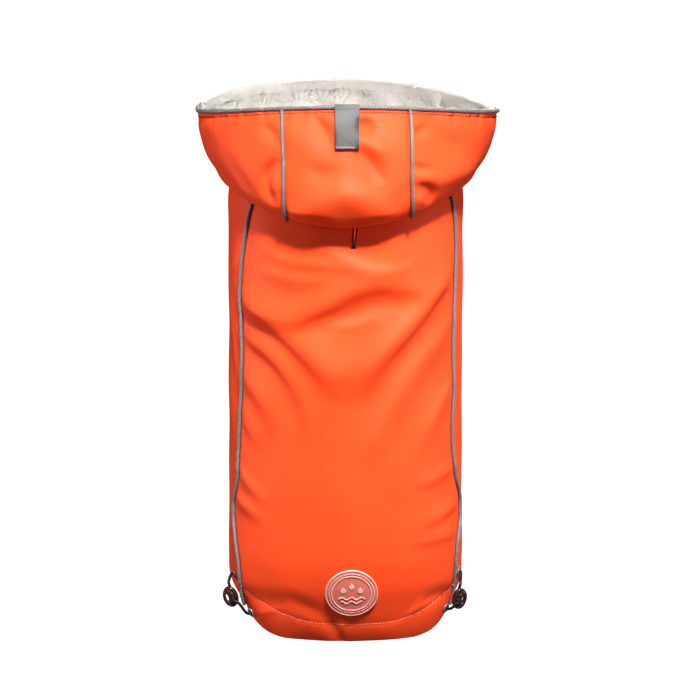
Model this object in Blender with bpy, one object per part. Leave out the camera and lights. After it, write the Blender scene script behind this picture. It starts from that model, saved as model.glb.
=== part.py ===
"""A dog's hooded raincoat, filled out as when worn, neck up, with the hood folded back.

Frame: +Z runs from the tail to the neck, the coat's back faces -Y and its belly +Y. The origin is the
middle of the neck seam, where the wearer's neck and shoulders hold the coat.
Tables and sizes are in millimetres and degrees; meshes are written in metres.
"Around" is the angle about Z from the middle of the back (-Y), growing towards +X.
"Down" is the length along the cloth from the neck seam. Across and height are X and Z.
"""

import math

import bmesh
import bpy
import numpy as np

MM = 0.001

# Cloth and trim
FACE_WALL = 1.5             # coated face cloth
LINING_WALL = 3.0           # short fleece
SEAM_GAP = 0.3              # pieces stay this far apart
PIPING_RADIUS = 1.8
PIPING_STAND = 0.55         # between a seam piping and the faces beside it
BACK_PIPING = {"top": 0.1, "bottom": 0.995}     # shares of the drop from neck to hem
HOOD_PIPING_TOP = 0.004     # share of the drop from the rim
CORD_RADIUS = 1.5
NECK_RADIUS = 74.0

# Colours of the materials: base colour, roughness, metallic
FINISHES = {
    "face_cloth": ((0.87, 0.13, 0.035, 1), 0.55, 0.0),
    "fleece": ((0.80, 0.76, 0.68, 1), 0.95, 0.0),
    "piping": ((0.38, 0.37, 0.35, 1), 0.50, 0.0),
    "label_satin": ((0.22, 0.21, 0.20, 1), 0.45, 0.0),
    "badge_rubber": ((0.86, 0.55, 0.47, 1), 0.40, 0.0),
    "eyelet_metal": ((0.20, 0.20, 0.21, 1), 0.30, 1.0),
    "lock_plastic": ((0.05, 0.025, 0.02, 1), 0.25, 0.0),
    "elastic": ((0.02, 0.02, 0.025, 1), 0.45, 0.0),
}


def table(columns, *rows):
    """Rows of numbers as one array for each named column."""
    values = np.array(rows, dtype=float)
    return {name: values[:, place] for place, name in enumerate(columns.split())}


# Cross-sections of the body, from the neck seam to the hem
BODY_RINGS = table(
    "height half_width back belly",
    (0, 74, 73, 76),
    (-6, 86, 80, 84),
    (-14, 96, 86, 90),
    (-22, 104, 90, 94),
    (-30, 110, 93, 97),
    (-38, 116, 96, 100),
    (-52, 117, 100, 105),
    (-80, 116.5, 105, 110),
    (-120, 116.5, 108, 113),
    (-190, 116.5, 108, 112),
    (-280, 116.5, 107, 106),
    (-350, 117, 105, 102),
    (-395, 117.5, 101, 98),
    (-425, 116, 94, 94),
    (-450, 110, 84, 90),
    (-470, 104.5, 74, 86),
    (-490, 99, 63, 82),
)

# Height of the hem, by the angle from its lowest point
HEM_LINE = table(
    "away height",
    (0, -484.5), (38, -484), (52, -480), (62, -471), (68, -461), (73, -450), (80, -443),
    (92, -434), (115, -404), (145, -372), (165, -362), (180, -360),
)
HEM_TURN = 3.5              # the coat sits turned by this much about its axis

# Seams between the back and the sides
SEAM_LINES = table(
    "height left right",
    (0, -46, 56), (-46, -50.3, 62.3), (-62, -53.4, 65), (-78, -56.3, 66.7), (-98, -59.2, 67.8),
    (-120, -61, 67.3), (-142, -61.9, 66.8), (-170, -60.7, 65.3), (-198, -60.1, 65.1),
    (-230, -61.3, 65.3), (-266, -63.1, 64.8), (-300, -64.4, 66), (-316, -64.9, 67.4),
    (-328, -66.3, 69.8), (-340, -68.9, 73.4), (-352, -71.4, 75.8), (-364, -71.2, 75.7),
    (-378, -69.4, 73.3), (-394, -66.9, 70.6), (-410, -64.8, 69.6), (-424, -64.1, 69.9),
    (-440, -65.8, 72), (-470, -67.5, 73.5),
)
EDGE_PASSES = 5             # passes to settle a panel's edges, because the hem's height depends on the angle
NOMINAL_LEFT = -65.0
NOMINAL_RIGHT = 70.0

# Cross-sections of the hood's outer face, from its rim, down round the pouch and back up to the neck seam
HOOD_RINGS = table(
    "half_width back front height_back height_side height_front",
    (147.5, 101, 100, 45.2, 35.5, 60),
    (147.5, 112, 101, 31, 24, 48),
    (144, 121.5, 100, 11.3, 8, 36),
    (137.6, 128.5, 97, -13, -8, 27),
    (130, 132, 93, -38, -19, 19),
    (125.2, 129.5, 90, -56, -27.3, 14),
    (119.8, 121, 87, -67, -32.3, 10.5),
    (114.8, 112.5, 85, -64, -28.5, 8),
    (111.3, 107.5, 83, -52, -22.5, 6.5),
    (106, 101.5, 81, -36, -17, 5),
    (97.5, 95, 79, -20, -9.5, 3.5),
    (87, 86, 77.5, -6, -3, 2),
    (74, 73, 76, 0.35, 0.35, 0.35),
)
HOOD_SHIFT = 2.2            # the rim hangs this much to +X of the neck
THROAT_SHIFT = -11.5        # and at the throat this much more
THROAT_EASE = 0.08          # how gently the throat's shift starts at the sides
POUCH_RING = 6              # the row at the bottom of the pouch
RIM_SOFTNESS = 0.3          # how gently the rim turns at its two lowest points

# Hood seams, as seen from the back, from the rim to the neck seam
HOOD_SEAMS = table("row left right", (0, -62, 61), (6, -57, 64), (12, -43, 47))

# Folds of the back as seen from behind, each drawn left to right along its crest:
# lift, reach above and below the crest, then (across, height) points
BACK_FOLDS = (
    (2.3, 5, 10, ((-17, -90), (5, -102), (33, -111), (55, -109), (72, -99))),
    (1.6, 7, 5, ((-82, -93), (-53, -103), (-20, -106), (16, -109))),
    (1.8, 6, 7, ((-78, -114), (-44, -121), (-12, -116))),
    (6.5, 17, 9, ((-104, -139), (-76, -154), (-52, -158), (-20, -145), (6, -129), (32, -123), (58, -127),
                  (84, -132))),
    (-3.4, 10, 12, ((-46, -166), (-20, -160), (5, -152), (32, -143), (62, -143))),
    (1.3, 5, 6, ((-22, -162), (3, -164), (26, -156))),
    (6.0, 22, 20, ((-48, -176), (-26, -197), (-5, -208), (16, -204), (41, -183), (65, -160), (86, -137))),
    (4.2, 14, 8, ((-106, -146), (-73, -164), (-48, -183), (-26, -204), (-13, -224))),
    (-2.9, 7, 9, ((-100, -160), (-73, -178), (-50, -198), (-32, -220))),
    (4.2, 10, 8, ((-106, -174), (-75, -193), (-53, -218), (-42, -242), (-36, -266))),
    (-2.6, 7, 9, ((-104, -188), (-78, -206), (-58, -232), (-48, -258))),
    (3.6, 11, 9, ((-106, -214), (-82, -239), (-68, -268))),
    (2.1, 12, 9, ((-106, -250), (-86, -282))),
    (4.4, 10, 14, ((12, -230), (30, -199), (55, -171), (78, -146), (106, -112))),
    (-2.9, 8, 10, ((20, -243), (40, -208), (64, -180), (86, -152), (104, -130))),
    (4.4, 9, 15, ((24, -288), (43, -249), (58, -221), (81, -191), (108, -160))),
    (3.4, 9, 12, ((74, -282), (91, -250), (109, -220))),
    (2.1, 6, 9, ((-108, -310), (-78, -341))),
    (2.1, 7, 8, ((-110, -342), (-82, -358))),
    (2.1, 9, 6, ((71, -325), (113, -308))),
    (2.3, 10, 6, ((76, -365), (112, -348))),
    (2.1, 10, 6, ((66, -381), (112, -379))),
    (-5.0, 10, 11, ((-114, -452), (-96, -443), (-72, -443), (-42, -448))),
    (-5.0, 10, 10, ((78, -441), (95, -441), (113, -446))),
)

# Softer folds of the belly side, as seen from the front, drawn the same way
BELLY_FOLDS = (
    (3.0, 13, 9, ((-104, -176), (-70, -196), (-34, -204), (0, -196), (32, -203), (70, -194), (104, -174))),
    (2.6, 12, 10, ((-100, -212), (-66, -240), (-40, -262))),
    (2.6, 11, 9, ((36, -268), (64, -236), (100, -208))),
    (2.2, 12, 9, ((-104, -258), (-74, -286), (-58, -312))),
    (2.2, 11, 10, ((50, -316), (78, -290), (104, -262))),
    (2.4, 10, 9, ((-30, -60), (0, -72), (30, -62))),
    (1.8, 9, 8, ((-24, -96), (0, -104), (26, -98))),
    (1.8, 12, 9, ((-50, -318), (0, -330), (46, -320))),
)

# Folds of the hood's back, drawn the same way
HOOD_FOLDS = (
    (-2.9, 9, 10, ((-40, 30), (-24, 24), (-12, 20))),
    (-2.9, 8, 9, ((12, 20), (22, 24), (40, 30))),
    (3.1, 12, 14, ((-34, -20), (-8, -12), (10, -16))),
    (-2.6, 8, 7, ((14, 6), (24, -14), (32, -42))),
    (2.6, 12, 10, ((-60, -40), (-40, -50), (-20, -54))),
    (2.9, 8, 7, ((66, -8), (92, -10), (122, 2))),
    (-2.3, 6, 6, ((66, -24), (84, -30), (96, -34))),
    (-2.3, 6, 5, ((-80, -6), (-74, -26), (-72, -36))),
    (2.1, 9, 8, ((-118, 8), (-96, 2), (-78, 6))),
)
FOLD_STEPS = 8              # short straights between two points of a fold
BODY_ROLL = 112.0           # radius on which the body's folds are laid out
FOLD_VIEW = 117.5           # half width over which the body's folds were drawn
NECK_HOLD = 14.0            # below the neck seam the folds start here and are full at twice this
SEAM_HOLD = 5.0             # degrees either side within which a back seam holds the folds flat
SIDE_FADE = {"start": 1.25, "drop": 0.95, "power": 12}      # the folds flatten out towards the coat's sides
HOOD_SEAM_HOLD = 6.0        # as SEAM_HOLD for a hood seam, in millimetres
HOOD_FADE = {"pouch": 2.0, "sides": 3.0, "rim": 2.0}        # and towards the hood's pouch, sides and rim

# Rows of the cloth, as numbers of equal steps between shares of the length
BODY_ROWS = ((0.0, 4), (0.09, 4), (0.18, 24), (0.62, 5), (0.82, 6), (1.0, 0))
BACK_COLUMNS = 24
SIDE_COLUMNS = 9
HOOD_CENTRE_COLUMNS = 7
HOOD_SIDE_COLUMNS = 18

# Openings
LEG_HOLE = {"from_belly": 48.0, "height": -130.0, "half_across": 38.0, "half_tall": 47.0}
LEASH_SLIT = {"around": 4.6, "height": -72.0, "half_across": 1.2, "half_tall": 14.0}

# Trim and hardware
LABEL = {"middle": -0.5, "width": 23.0, "wall": 0.6}
LABEL_PATH = table(         # inner face of the tab, over the rim piping and down: off the face, below the rim
    "off below",
    (-0.5, -4.6), (1.2, -4.6), (2.8, -3.4), (3.2, -1.8), (2.8, 0.6), (2.0, 3), (1.4, 7), (1.1, 14),
    (1.0, 22), (1.2, 30), (1.4, 36.5), (1.8, 44),
)
BADGE = {"across": 6.0, "height": -430.0, "radius": 25.5, "wall": 2.0, "rim": 3.4, "rim_lift": 0.7,
         "rim_slope": 0.6, "segments": 30}
EYELET = {"outer": 5.0, "inner": 1.85, "lift": 1.3, "slope_in": 0.5, "slope_out": 1.0, "stand": 0.6}
EYELETS = {                 # around, height
    "eyelet_left_upper": (-74.0, -424.5),
    "eyelet_left_lower": (-60.6, -461.0),
    "eyelet_right_upper": (76.5, -423.0),
    "eyelet_right_lower": (67.0, -458.0),
}
CORD_LOCK = {"half_long": 10.8, "half_wide": 7.6, "half_thick": 2.8, "edge_share": 0.55,
             "boss": 1.2, "boss_middle": 2.4, "boss_reach": 4.5}
SLOT = {"middle": -3.8, "half_wide": 1.3, "half_long": 3.6}
CORD_LOCKS = {              # centre, long axis, face direction, side of the slot
    "cord_lock_left": ((-114.5, -39.0, -445.0), (0.31, 0.0, -0.95), (-0.15, -0.98, -0.05), -1),
    "cord_lock_right": ((113.5, -39.0, -447.0), (-0.21, 0.0, -0.97), (0.45, -0.88, -0.10), 1),
}
CORD_EXIT = {"start": 1.0, "rise": 3.2, "leave": 3.0}   # off the cloth, straight out, straight off the lock
DRAWCORDS = {               # eyelet, lock, and where the cord meets the lock: inwards, along, off its face
    "drawcord_left_upper": ("eyelet_left_upper", "cord_lock_left", (2.4, -11.2, 0.0), (0.0, -1.0, 0.0)),
    "drawcord_left_lower": ("eyelet_left_lower", "cord_lock_left", (3.4, 4.0, 6.3), (1.0, 0.6, 0.35)),
    "drawcord_right_upper": ("eyelet_right_upper", "cord_lock_right", (2.4, -11.2, 0.0), (0.0, -1.0, 0.0)),
    "drawcord_right_lower": ("eyelet_right_lower", "cord_lock_right", (3.8, 2.6, 6.6), (1.0, 0.5, 0.45)),
}


# Curves and surfaces


def smooth(at, keys, values):
    """Value at the given keys on a cubic through the rows that never overshoots them."""
    at = np.clip(at, keys[0], keys[-1])
    low = np.clip(np.searchsorted(keys, at, side="right") - 1, 0, len(keys) - 2)
    gaps = np.diff(keys)
    slopes = np.diff(values) / gaps
    bends = np.zeros(len(keys))
    before, after = slopes[:-1], slopes[1:]
    even = before * after > 0
    bends[1:-1][even] = 2 * before[even] * after[even] / (before + after)[even]
    bends[0], bends[-1] = slopes[0], slopes[-1]
    gap = gaps[low]
    part = (at - keys[low]) / gap
    start = values[low] * (1 + 2 * part) + bends[low] * gap * part
    end = values[low + 1] * (3 - 2 * part) - bends[low + 1] * gap * (1 - part)
    return start * (1 - part) ** 2 + end * part ** 2


def running_length(first, second):
    steps = np.hypot(np.diff(first), np.diff(second))
    return np.concatenate(([0.0], np.cumsum(steps)))


def fold_paths(folds, place):
    """Each fold as its lift, its reaches and a fine path on the rolled-out cloth."""
    paths = []
    for lift, above, below, points in folds:
        points = np.array(points, dtype=float)
        rolled = np.stack((place(points[:, 0]), points[:, 1]), axis=1)
        knots = running_length(rolled[:, 0], rolled[:, 1])
        fine = np.linspace(0, knots[-1], FOLD_STEPS * (len(points) - 1) + 1)
        path = np.stack((smooth(fine, knots, rolled[:, 0]), smooth(fine, knots, rolled[:, 1])), axis=1)
        paths.append((lift, above, below, path))
    return paths


def fold_lift(paths, across, height):
    """How far the folds raise the cloth at each place."""
    total = np.zeros(np.shape(across))
    for lift, above, below, path in paths:
        nearest = np.full(np.shape(across), 1e9)
        reach = np.full(np.shape(across), float(above))
        share = np.zeros(np.shape(across))
        for step in range(len(path) - 1):
            run_x, run_z = path[step + 1] - path[step]
            off_x, off_z = across - path[step, 0], height - path[step, 1]
            along = np.clip((off_x * run_x + off_z * run_z) / (run_x ** 2 + run_z ** 2), 0, 1)
            away = np.hypot(off_x - along * run_x, off_z - along * run_z)
            closer = away < nearest
            nearest = np.where(closer, away, nearest)
            side = run_x * off_z - run_z * off_x
            reach = np.where(closer, np.where(side >= 0, above, below), reach)
            share = np.where(closer, (step + along) / (len(path) - 1), share)
        ends = 0.3 + 0.7 * np.sin(np.pi * share) ** 0.7
        total = total + lift * ends * np.exp(-((nearest / reach) ** 2))
    return total


def rolled_back(across):
    return BODY_ROLL * np.arcsin(np.clip(across / FOLD_VIEW, -1, 1))


def rolled_belly(across):
    """Seen from the front, across runs the other way, and places are measured from the belly's middle."""
    return -rolled_back(across)


BODY_RINGS["down"] = running_length(BODY_RINGS["back"], BODY_RINGS["height"])
BACK_PATHS = fold_paths(BACK_FOLDS, rolled_back)
BELLY_PATHS = fold_paths(BELLY_FOLDS, rolled_belly)
HOOD_PATHS = fold_paths(HOOD_FOLDS, lambda across: across)


def body_ring(name, down):
    return smooth(down, BODY_RINGS["down"], BODY_RINGS[name])


def down_at(height):
    return np.interp(-np.asarray(height, dtype=float), -BODY_RINGS["height"], BODY_RINGS["down"])


def hem_down(around):
    away = np.abs((np.asarray(around, dtype=float) - HEM_TURN + 180) % 360 - 180)
    return down_at(smooth(away, HEM_LINE["away"], HEM_LINE["height"]))


def seam_around(name, down):
    return smooth(-body_ring("height", down), -SEAM_LINES["height"], SEAM_LINES[name])


def body_point(around, down, off=0.0):
    """A point of the body's outer face, raised by the folds and then moved straight off it."""
    angle = np.radians(around)
    side, facing = np.sin(angle), np.cos(angle)
    half_width = body_ring("half_width", down)
    depth = np.where(facing > 0, body_ring("back", down), body_ring("belly", down))
    height = body_ring("height", down)
    turn = (np.asarray(around, dtype=float) + 180) % 360 - 180
    from_belly = (np.asarray(around, dtype=float) + 360) % 360 - 180
    lift = fold_lift(BACK_PATHS, BODY_ROLL * np.radians(turn), height)
    lift = lift + fold_lift(BELLY_PATHS, BODY_ROLL * np.radians(from_belly), height)
    held = (np.exp(-((turn - seam_around("left", down)) / SEAM_HOLD) ** 2)
            + np.exp(-((turn - seam_around("right", down)) / SEAM_HOLD) ** 2))
    fade = np.clip(SIDE_FADE["start"] - SIDE_FADE["drop"] * np.abs(side) ** SIDE_FADE["power"], 0, 1)
    lift = lift * (1 - 0.7 * held) * fade * np.clip(down / NECK_HOLD - 1, 0, 1) + off
    out_x, out_y = side / half_width, -facing / depth
    length = np.hypot(out_x, out_y)
    return np.stack((half_width * side + lift * out_x / length,
                     -depth * facing + lift * out_y / length, height), axis=-1)


def body_panel(first, last, first_nominal, last_nominal):
    """Surface of a body panel: across 0 to 1 between its two edges, drop 0 to 1 from neck to hem."""

    def surface(across, drop):
        around = first_nominal + (last_nominal - first_nominal) * across
        for _ in range(EDGE_PASSES):
            down = drop * hem_down(around)
            start, end = first(down), last(down)
            around = start + (end - start) * across
        return body_point(around, drop * hem_down(around))

    return surface


def hood_ring(name, row):
    return smooth(row, np.arange(len(HOOD_RINGS[name]), dtype=float), HOOD_RINGS[name])


def hood_point(around, row):
    """A point of the hood's outer face; row 0 is the rim and the last row is the neck seam."""
    angle = np.radians(around)
    side, facing = np.sin(angle), np.cos(angle)
    half_width = hood_ring("half_width", row)
    back, front = hood_ring("back", row), hood_ring("front", row)
    soft = np.sqrt(facing ** 2 + RIM_SOFTNESS ** 2) - RIM_SOFTNESS
    soft = soft / (math.hypot(1, RIM_SOFTNESS) - RIM_SOFTNESS)
    middle = hood_ring("height_side", row)
    height = np.where(facing > 0,
                      middle + (hood_ring("height_back", row) - middle) * facing ** 2,
                      middle + (hood_ring("height_front", row) - middle) * soft)
    depth = np.where(facing > 0, back, front)
    ahead = np.clip(-facing, 0, 1) ** 2
    shift = HOOD_SHIFT + THROAT_SHIFT * (1 + THROAT_EASE) * ahead / (ahead + THROAT_EASE)
    across = half_width * side + shift * np.clip(1 - row / POUCH_RING, 0, 1)
    fade = np.clip((POUCH_RING - 0.5 - row) / HOOD_FADE["pouch"], 0, 1)
    fade = fade * np.clip(facing * HOOD_FADE["sides"], 0, 1) * np.clip(row * HOOD_FADE["rim"], 0, 1)
    held = sum(np.exp(-((across - smooth(row, HOOD_SEAMS["row"], HOOD_SEAMS[name])) / HOOD_SEAM_HOLD) ** 2)
               for name in ("left", "right"))
    lift = fold_lift(HOOD_PATHS, across, height) * fade * (1 - 0.8 * held)
    out_x, out_y = side / half_width, -facing / depth
    length = np.hypot(out_x, out_y)
    return np.stack((across + lift * out_x / length, -depth * facing + lift * out_y / length, height), axis=-1)


def hood_seam(name, row):
    place = smooth(row, HOOD_SEAMS["row"], HOOD_SEAMS[name])
    return np.degrees(np.arcsin(np.clip(place / hood_ring("half_width", row), -1, 1)))


def hood_panel(first, last):
    """Surface of a hood panel: across 0 to 1 between its two edges, drop 0 to 1 from rim to neck seam."""

    def surface(across, drop):
        row = drop * (len(HOOD_RINGS["back"]) - 1)
        start, end = first(row), last(row)
        return hood_point(start + (end - start) * across, row)

    return surface


def normals(surface, across, drop, step=1e-4):
    """Unit normals by small steps over the surface, facing away from its axis at the start of the drop."""
    across_low, across_high = across - step, across + step
    drop_low, drop_high = np.maximum(drop - step, 0), np.minimum(drop + step, 1)
    over = surface(across_high, drop) - surface(across_low, drop)
    along = surface(across, drop_high) - surface(across, drop_low)
    facing = np.cross(along, over)
    return facing / np.linalg.norm(facing, axis=-1, keepdims=True)


# Plans: points (across, drop) and four-sided faces


def plan_grid(columns, rows):
    points = [(across, drop) for drop in rows for across in columns]
    width = len(columns)
    faces = [(row * width + col, row * width + col + 1, (row + 1) * width + col + 1, (row + 1) * width + col)
             for row in range(len(rows) - 1) for col in range(width - 1)]
    return points, faces


def plan_with_hole(columns, rows, middle, half, margin, rings=2):
    """A grid with an oval opening; rings of faces lead from the grid to the oval."""
    points, faces = plan_grid(columns, rows)
    width = len(columns)
    columns, rows = np.array(columns), np.array(rows)
    first_col = int(np.searchsorted(columns, middle[0] - half[0] * margin) - 1)
    last_col = int(np.searchsorted(columns, middle[0] + half[0] * margin))
    first_row = int(np.searchsorted(rows, middle[1] - half[1] * margin) - 1)
    last_row = int(np.searchsorted(rows, middle[1] + half[1] * margin))
    taken = {row * width + col for row in range(first_row, last_row) for col in range(first_col, last_col)}
    faces = [face for face in faces if face[0] not in taken]
    loop = [(first_row, col) for col in range(first_col, last_col)]
    loop += [(row, last_col) for row in range(first_row, last_row)]
    loop += [(last_row, col) for col in range(last_col, first_col, -1)]
    loop += [(row, first_col) for row in range(last_row, first_row, -1)]
    block = ((columns[last_col] - columns[first_col]) / 2, (rows[last_row] - rows[first_row]) / 2)
    centre = ((columns[last_col] + columns[first_col]) / 2, (rows[last_row] + rows[first_row]) / 2)
    outer = [row * width + col for row, col in loop]
    for ring in range(1, rings + 1):
        inner = []
        for row, col in loop:
            across, drop = columns[col], rows[row]
            angle = math.atan2((drop - centre[1]) / block[1], (across - centre[0]) / block[0])
            goal = (middle[0] + half[0] * math.cos(angle), middle[1] + half[1] * math.sin(angle))
            share = ring / rings
            inner.append(len(points))
            points.append((across + (goal[0] - across) * share, drop + (goal[1] - drop) * share))
        count = len(loop)
        faces += [(outer[k], outer[(k + 1) % count], inner[(k + 1) % count], inner[k]) for k in range(count)]
        outer = inner
    used = sorted({corner for face in faces for corner in face})
    place = {old: new for new, old in enumerate(used)}
    return [points[old] for old in used], [tuple(place[corner] for corner in face) for face in faces]


def plan_disc(ring_radii, segments):
    """A round plan in millimetres about its own middle."""
    points = [(0.0, 0.0)]
    for ring in ring_radii:
        points += [(ring * math.cos(2 * math.pi * k / segments), ring * math.sin(2 * math.pi * k / segments))
                   for k in range(segments)]
    faces = [(0, 1 + k, 1 + (k + 1) % segments) for k in range(segments)]
    for ring in range(len(ring_radii) - 1):
        near, far = 1 + ring * segments, 1 + (ring + 1) * segments
        faces += [(near + k, far + k, far + (k + 1) % segments, near + (k + 1) % segments)
                  for k in range(segments)]
    return points, faces


# Objects


def finish(name):
    """The material of one finish, made once."""
    if name in bpy.data.materials:
        return bpy.data.materials[name]
    colour, roughness, metallic = FINISHES[name]
    material = bpy.data.materials.new(name)
    material.use_nodes = True
    material.diffuse_color = colour
    shader = material.node_tree.nodes["Principled BSDF"]
    shader.inputs["Base Color"].default_value = colour
    shader.inputs["Roughness"].default_value = roughness
    shader.inputs["Metallic"].default_value = metallic
    return material


def add_object(name, verts, faces, finish_name):
    """A closed mesh, given in millimetres, with its faces turned outwards."""
    mesh = bpy.data.meshes.new(name)
    mesh.from_pydata([tuple(value * MM for value in vert) for vert in verts], [], faces)
    work = bmesh.new()
    work.from_mesh(mesh)
    bmesh.ops.recalc_face_normals(work, faces=work.faces)
    work.to_mesh(mesh)
    work.free()
    mesh.shade_smooth()
    mesh.set_sharp_from_angle(angle=math.radians(50))
    mesh.materials.append(finish(finish_name))
    built = bpy.data.objects.new(name, mesh)
    bpy.context.scene.collection.objects.link(built)
    return built


def close_wall(outer, inner, faces):
    """Verts and faces of a wall between two copies of a plan, closed along every open edge.

    Four-sided faces are halved along the same diagonal everywhere, so that walls laid on one another
    have matching facets.
    """
    count = len(outer)
    faces = [half for face in faces for half in (face[:3], (face[0],) + face[2:]) if len(half) == 3]
    faces = list(dict.fromkeys(faces))
    sides = {}
    for face in faces:
        for start, end in zip(face, face[1:] + face[:1]):
            sides[(start, end)] = sides.get((start, end), 0) + 1
    shell = list(faces) + [tuple(count + corner for corner in reversed(face)) for face in faces]
    shell += [(end, start, count + start, count + end) for start, end in sides if (end, start) not in sides]
    return np.concatenate((outer, inner)), shell


def cloth(name, plan, surface, finish_name, start=0.0, wall=FACE_WALL):
    """A thin wall that follows a surface, from `start` to `start + wall` beneath its face."""
    points, faces = plan
    across, drop = np.array(points).T
    face_points = surface(across, drop)
    facing = normals(surface, across, drop)
    verts, shell = close_wall(face_points - facing * start, face_points - facing * (start + wall), faces)
    return add_object(name, verts, shell, finish_name)


def tube(name, points, radius, finish_name, closed=False, resolution=1):
    """A round tube along points given in millimetres."""
    curve = bpy.data.curves.new(name, "CURVE")
    curve.dimensions = "3D"
    curve.bevel_depth = radius * MM
    curve.bevel_resolution = resolution
    curve.use_fill_caps = not closed
    spline = curve.splines.new("POLY")
    spline.points.add(len(points) - 1)
    for slot, point in zip(spline.points, points):
        slot.co = (point[0] * MM, point[1] * MM, point[2] * MM, 1)
    spline.use_cyclic_u = closed
    curve.materials.append(finish(finish_name))
    built = bpy.data.objects.new(name, curve)
    bpy.context.scene.collection.objects.link(built)
    return built


def body_rows():
    rows = []
    for (start, steps), (end, _) in zip(BODY_ROWS, BODY_ROWS[1:]):
        rows += [start + (end - start) * step / steps for step in range(steps)]
    return rows + [1.0]


def even(count):
    return [step / count for step in range(count + 1)]


def hood_rows():
    return even(len(HOOD_RINGS["back"]) - 1)


HALF_GAP = math.degrees(SEAM_GAP / 2 / NECK_RADIUS)


def left_seam(down, gap=0.0):
    return seam_around("left", down) + gap


def right_seam(down, gap=0.0):
    return seam_around("right", down) + gap


BELLY_SEAM = 180 + HEM_TURN


def back_surface():
    return body_panel(lambda down: left_seam(down, HALF_GAP), lambda down: right_seam(down, -HALF_GAP),
                      NOMINAL_LEFT, NOMINAL_RIGHT)


def make_back():
    """The back panel with its leash slit."""
    surface = back_surface()
    slit_down = float(down_at(LEASH_SLIT["height"]))
    hem = float(hem_down(LEASH_SLIT["around"]))
    start, end = float(left_seam(slit_down)), float(right_seam(slit_down))
    span = math.radians(end - start) * float(body_ring("back", slit_down))
    middle = ((LEASH_SLIT["around"] - start) / (end - start), slit_down / hem)
    half = (LEASH_SLIT["half_across"] / span, LEASH_SLIT["half_tall"] / hem)
    plan = plan_with_hole(even(BACK_COLUMNS), body_rows(), middle, half, 1.05)
    cloth("back_panel", plan, surface, "face_cloth")


def make_sides():
    """The two side panels, each with its front leg's hole, meeting along the belly."""
    belly = BELLY_SEAM
    edges = {
        "side_panel_left": (lambda down: belly - 360 + HALF_GAP + 0 * down,
                            lambda down: left_seam(down, -HALF_GAP), belly - 360, NOMINAL_LEFT,
                            belly - 360 + LEG_HOLE["from_belly"]),
        "side_panel_right": (lambda down: right_seam(down, HALF_GAP),
                             lambda down: belly - HALF_GAP + 0 * down, NOMINAL_RIGHT, belly,
                             belly - LEG_HOLE["from_belly"]),
    }
    leg_down = float(down_at(LEG_HOLE["height"]))
    for name, (first, last, first_nominal, last_nominal, leg_around) in edges.items():
        start, end = float(first(leg_down)), float(last(leg_down))
        hem = float(hem_down(leg_around))
        span = math.radians(end - start) * BODY_ROLL
        middle = ((leg_around - start) / (end - start), leg_down / hem)
        half = (LEG_HOLE["half_across"] / span, LEG_HOLE["half_tall"] / hem)
        plan = plan_with_hole(even(SIDE_COLUMNS), body_rows(), middle, half, 1.08)
        cloth(name, plan, body_panel(first, last, first_nominal, last_nominal), "face_cloth")


def hood_edges():
    """Edge functions of the three hood panels, with the gap between neighbours."""
    return {
        "hood_centre": (lambda row: hood_seam("left", row) + HALF_GAP,
                        lambda row: hood_seam("right", row) - HALF_GAP, HOOD_CENTRE_COLUMNS),
        "hood_right": (lambda row: hood_seam("right", row) + HALF_GAP,
                       lambda row: 180 - HALF_GAP + 0 * row, HOOD_SIDE_COLUMNS),
        "hood_left": (lambda row: -180 + HALF_GAP + 0 * row,
                      lambda row: hood_seam("left", row) - HALF_GAP, HOOD_SIDE_COLUMNS),
    }


def make_hood():
    for name, (first, last, columns) in hood_edges().items():
        cloth(name, plan_grid(even(columns), hood_rows()), hood_panel(first, last), "face_cloth")


def lining_surface(across, drop):
    """The whole round of the hood: across counts columns from the throat over the left side."""
    row = drop * (len(HOOD_RINGS["back"]) - 1)
    left, right = hood_seam("left", row), hood_seam("right", row)
    sides, centre = HOOD_SIDE_COLUMNS, HOOD_CENTRE_COLUMNS
    around = np.where(across < sides, -180 + (left + 180) * across / sides,
                      np.where(across < sides + centre, left + (right - left) * (across - sides) / centre,
                               right + (180 - right) * (across - sides - centre) / sides))
    return hood_point(around, row)


def make_lining():
    """The fleece lining: one round piece inside the hood, standing a little above its rim."""
    count = 2 * HOOD_SIDE_COLUMNS + HOOD_CENTRE_COLUMNS
    rows = hood_rows()
    points, faces = plan_grid(list(range(count)), rows)
    faces += [(row * count + count - 1, row * count, (row + 1) * count, (row + 1) * count + count - 1)
              for row in range(len(rows) - 1)]
    across, drop = np.array(points, dtype=float).T
    face_points = lining_surface(across, drop)
    facing = normals(lining_surface, across, drop)
    start = FACE_WALL + SEAM_GAP
    outer, inner = face_points - facing * start, face_points - facing * (start + LINING_WALL)
    rise = face_points[:count] - face_points[count:2 * count]
    rise = rise / np.linalg.norm(rise, axis=1, keepdims=True) * (2 * PIPING_RADIUS + SEAM_GAP)
    outer[:count] += rise
    inner[:count] += rise
    verts, shell = close_wall(outer, inner, faces)
    add_object("hood_lining", verts, shell, "fleece")


def make_rim_piping():
    """Piping round the whole rim, standing on the edge of the hood's outer face."""
    count = 2 * HOOD_SIDE_COLUMNS + HOOD_CENTRE_COLUMNS
    across, drop = np.arange(count, dtype=float), np.zeros(count)
    edge, below = lining_surface(across, drop), lining_surface(across, drop + 0.02)
    facing = normals(lining_surface, across, drop)
    rise = (edge - below) / np.linalg.norm(edge - below, axis=1, keepdims=True)
    off = PIPING_RADIUS - FACE_WALL
    points = edge + rise * (PIPING_RADIUS + SEAM_GAP) + facing * off
    tube("rim_piping", points, PIPING_RADIUS, "piping", closed=True)


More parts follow.
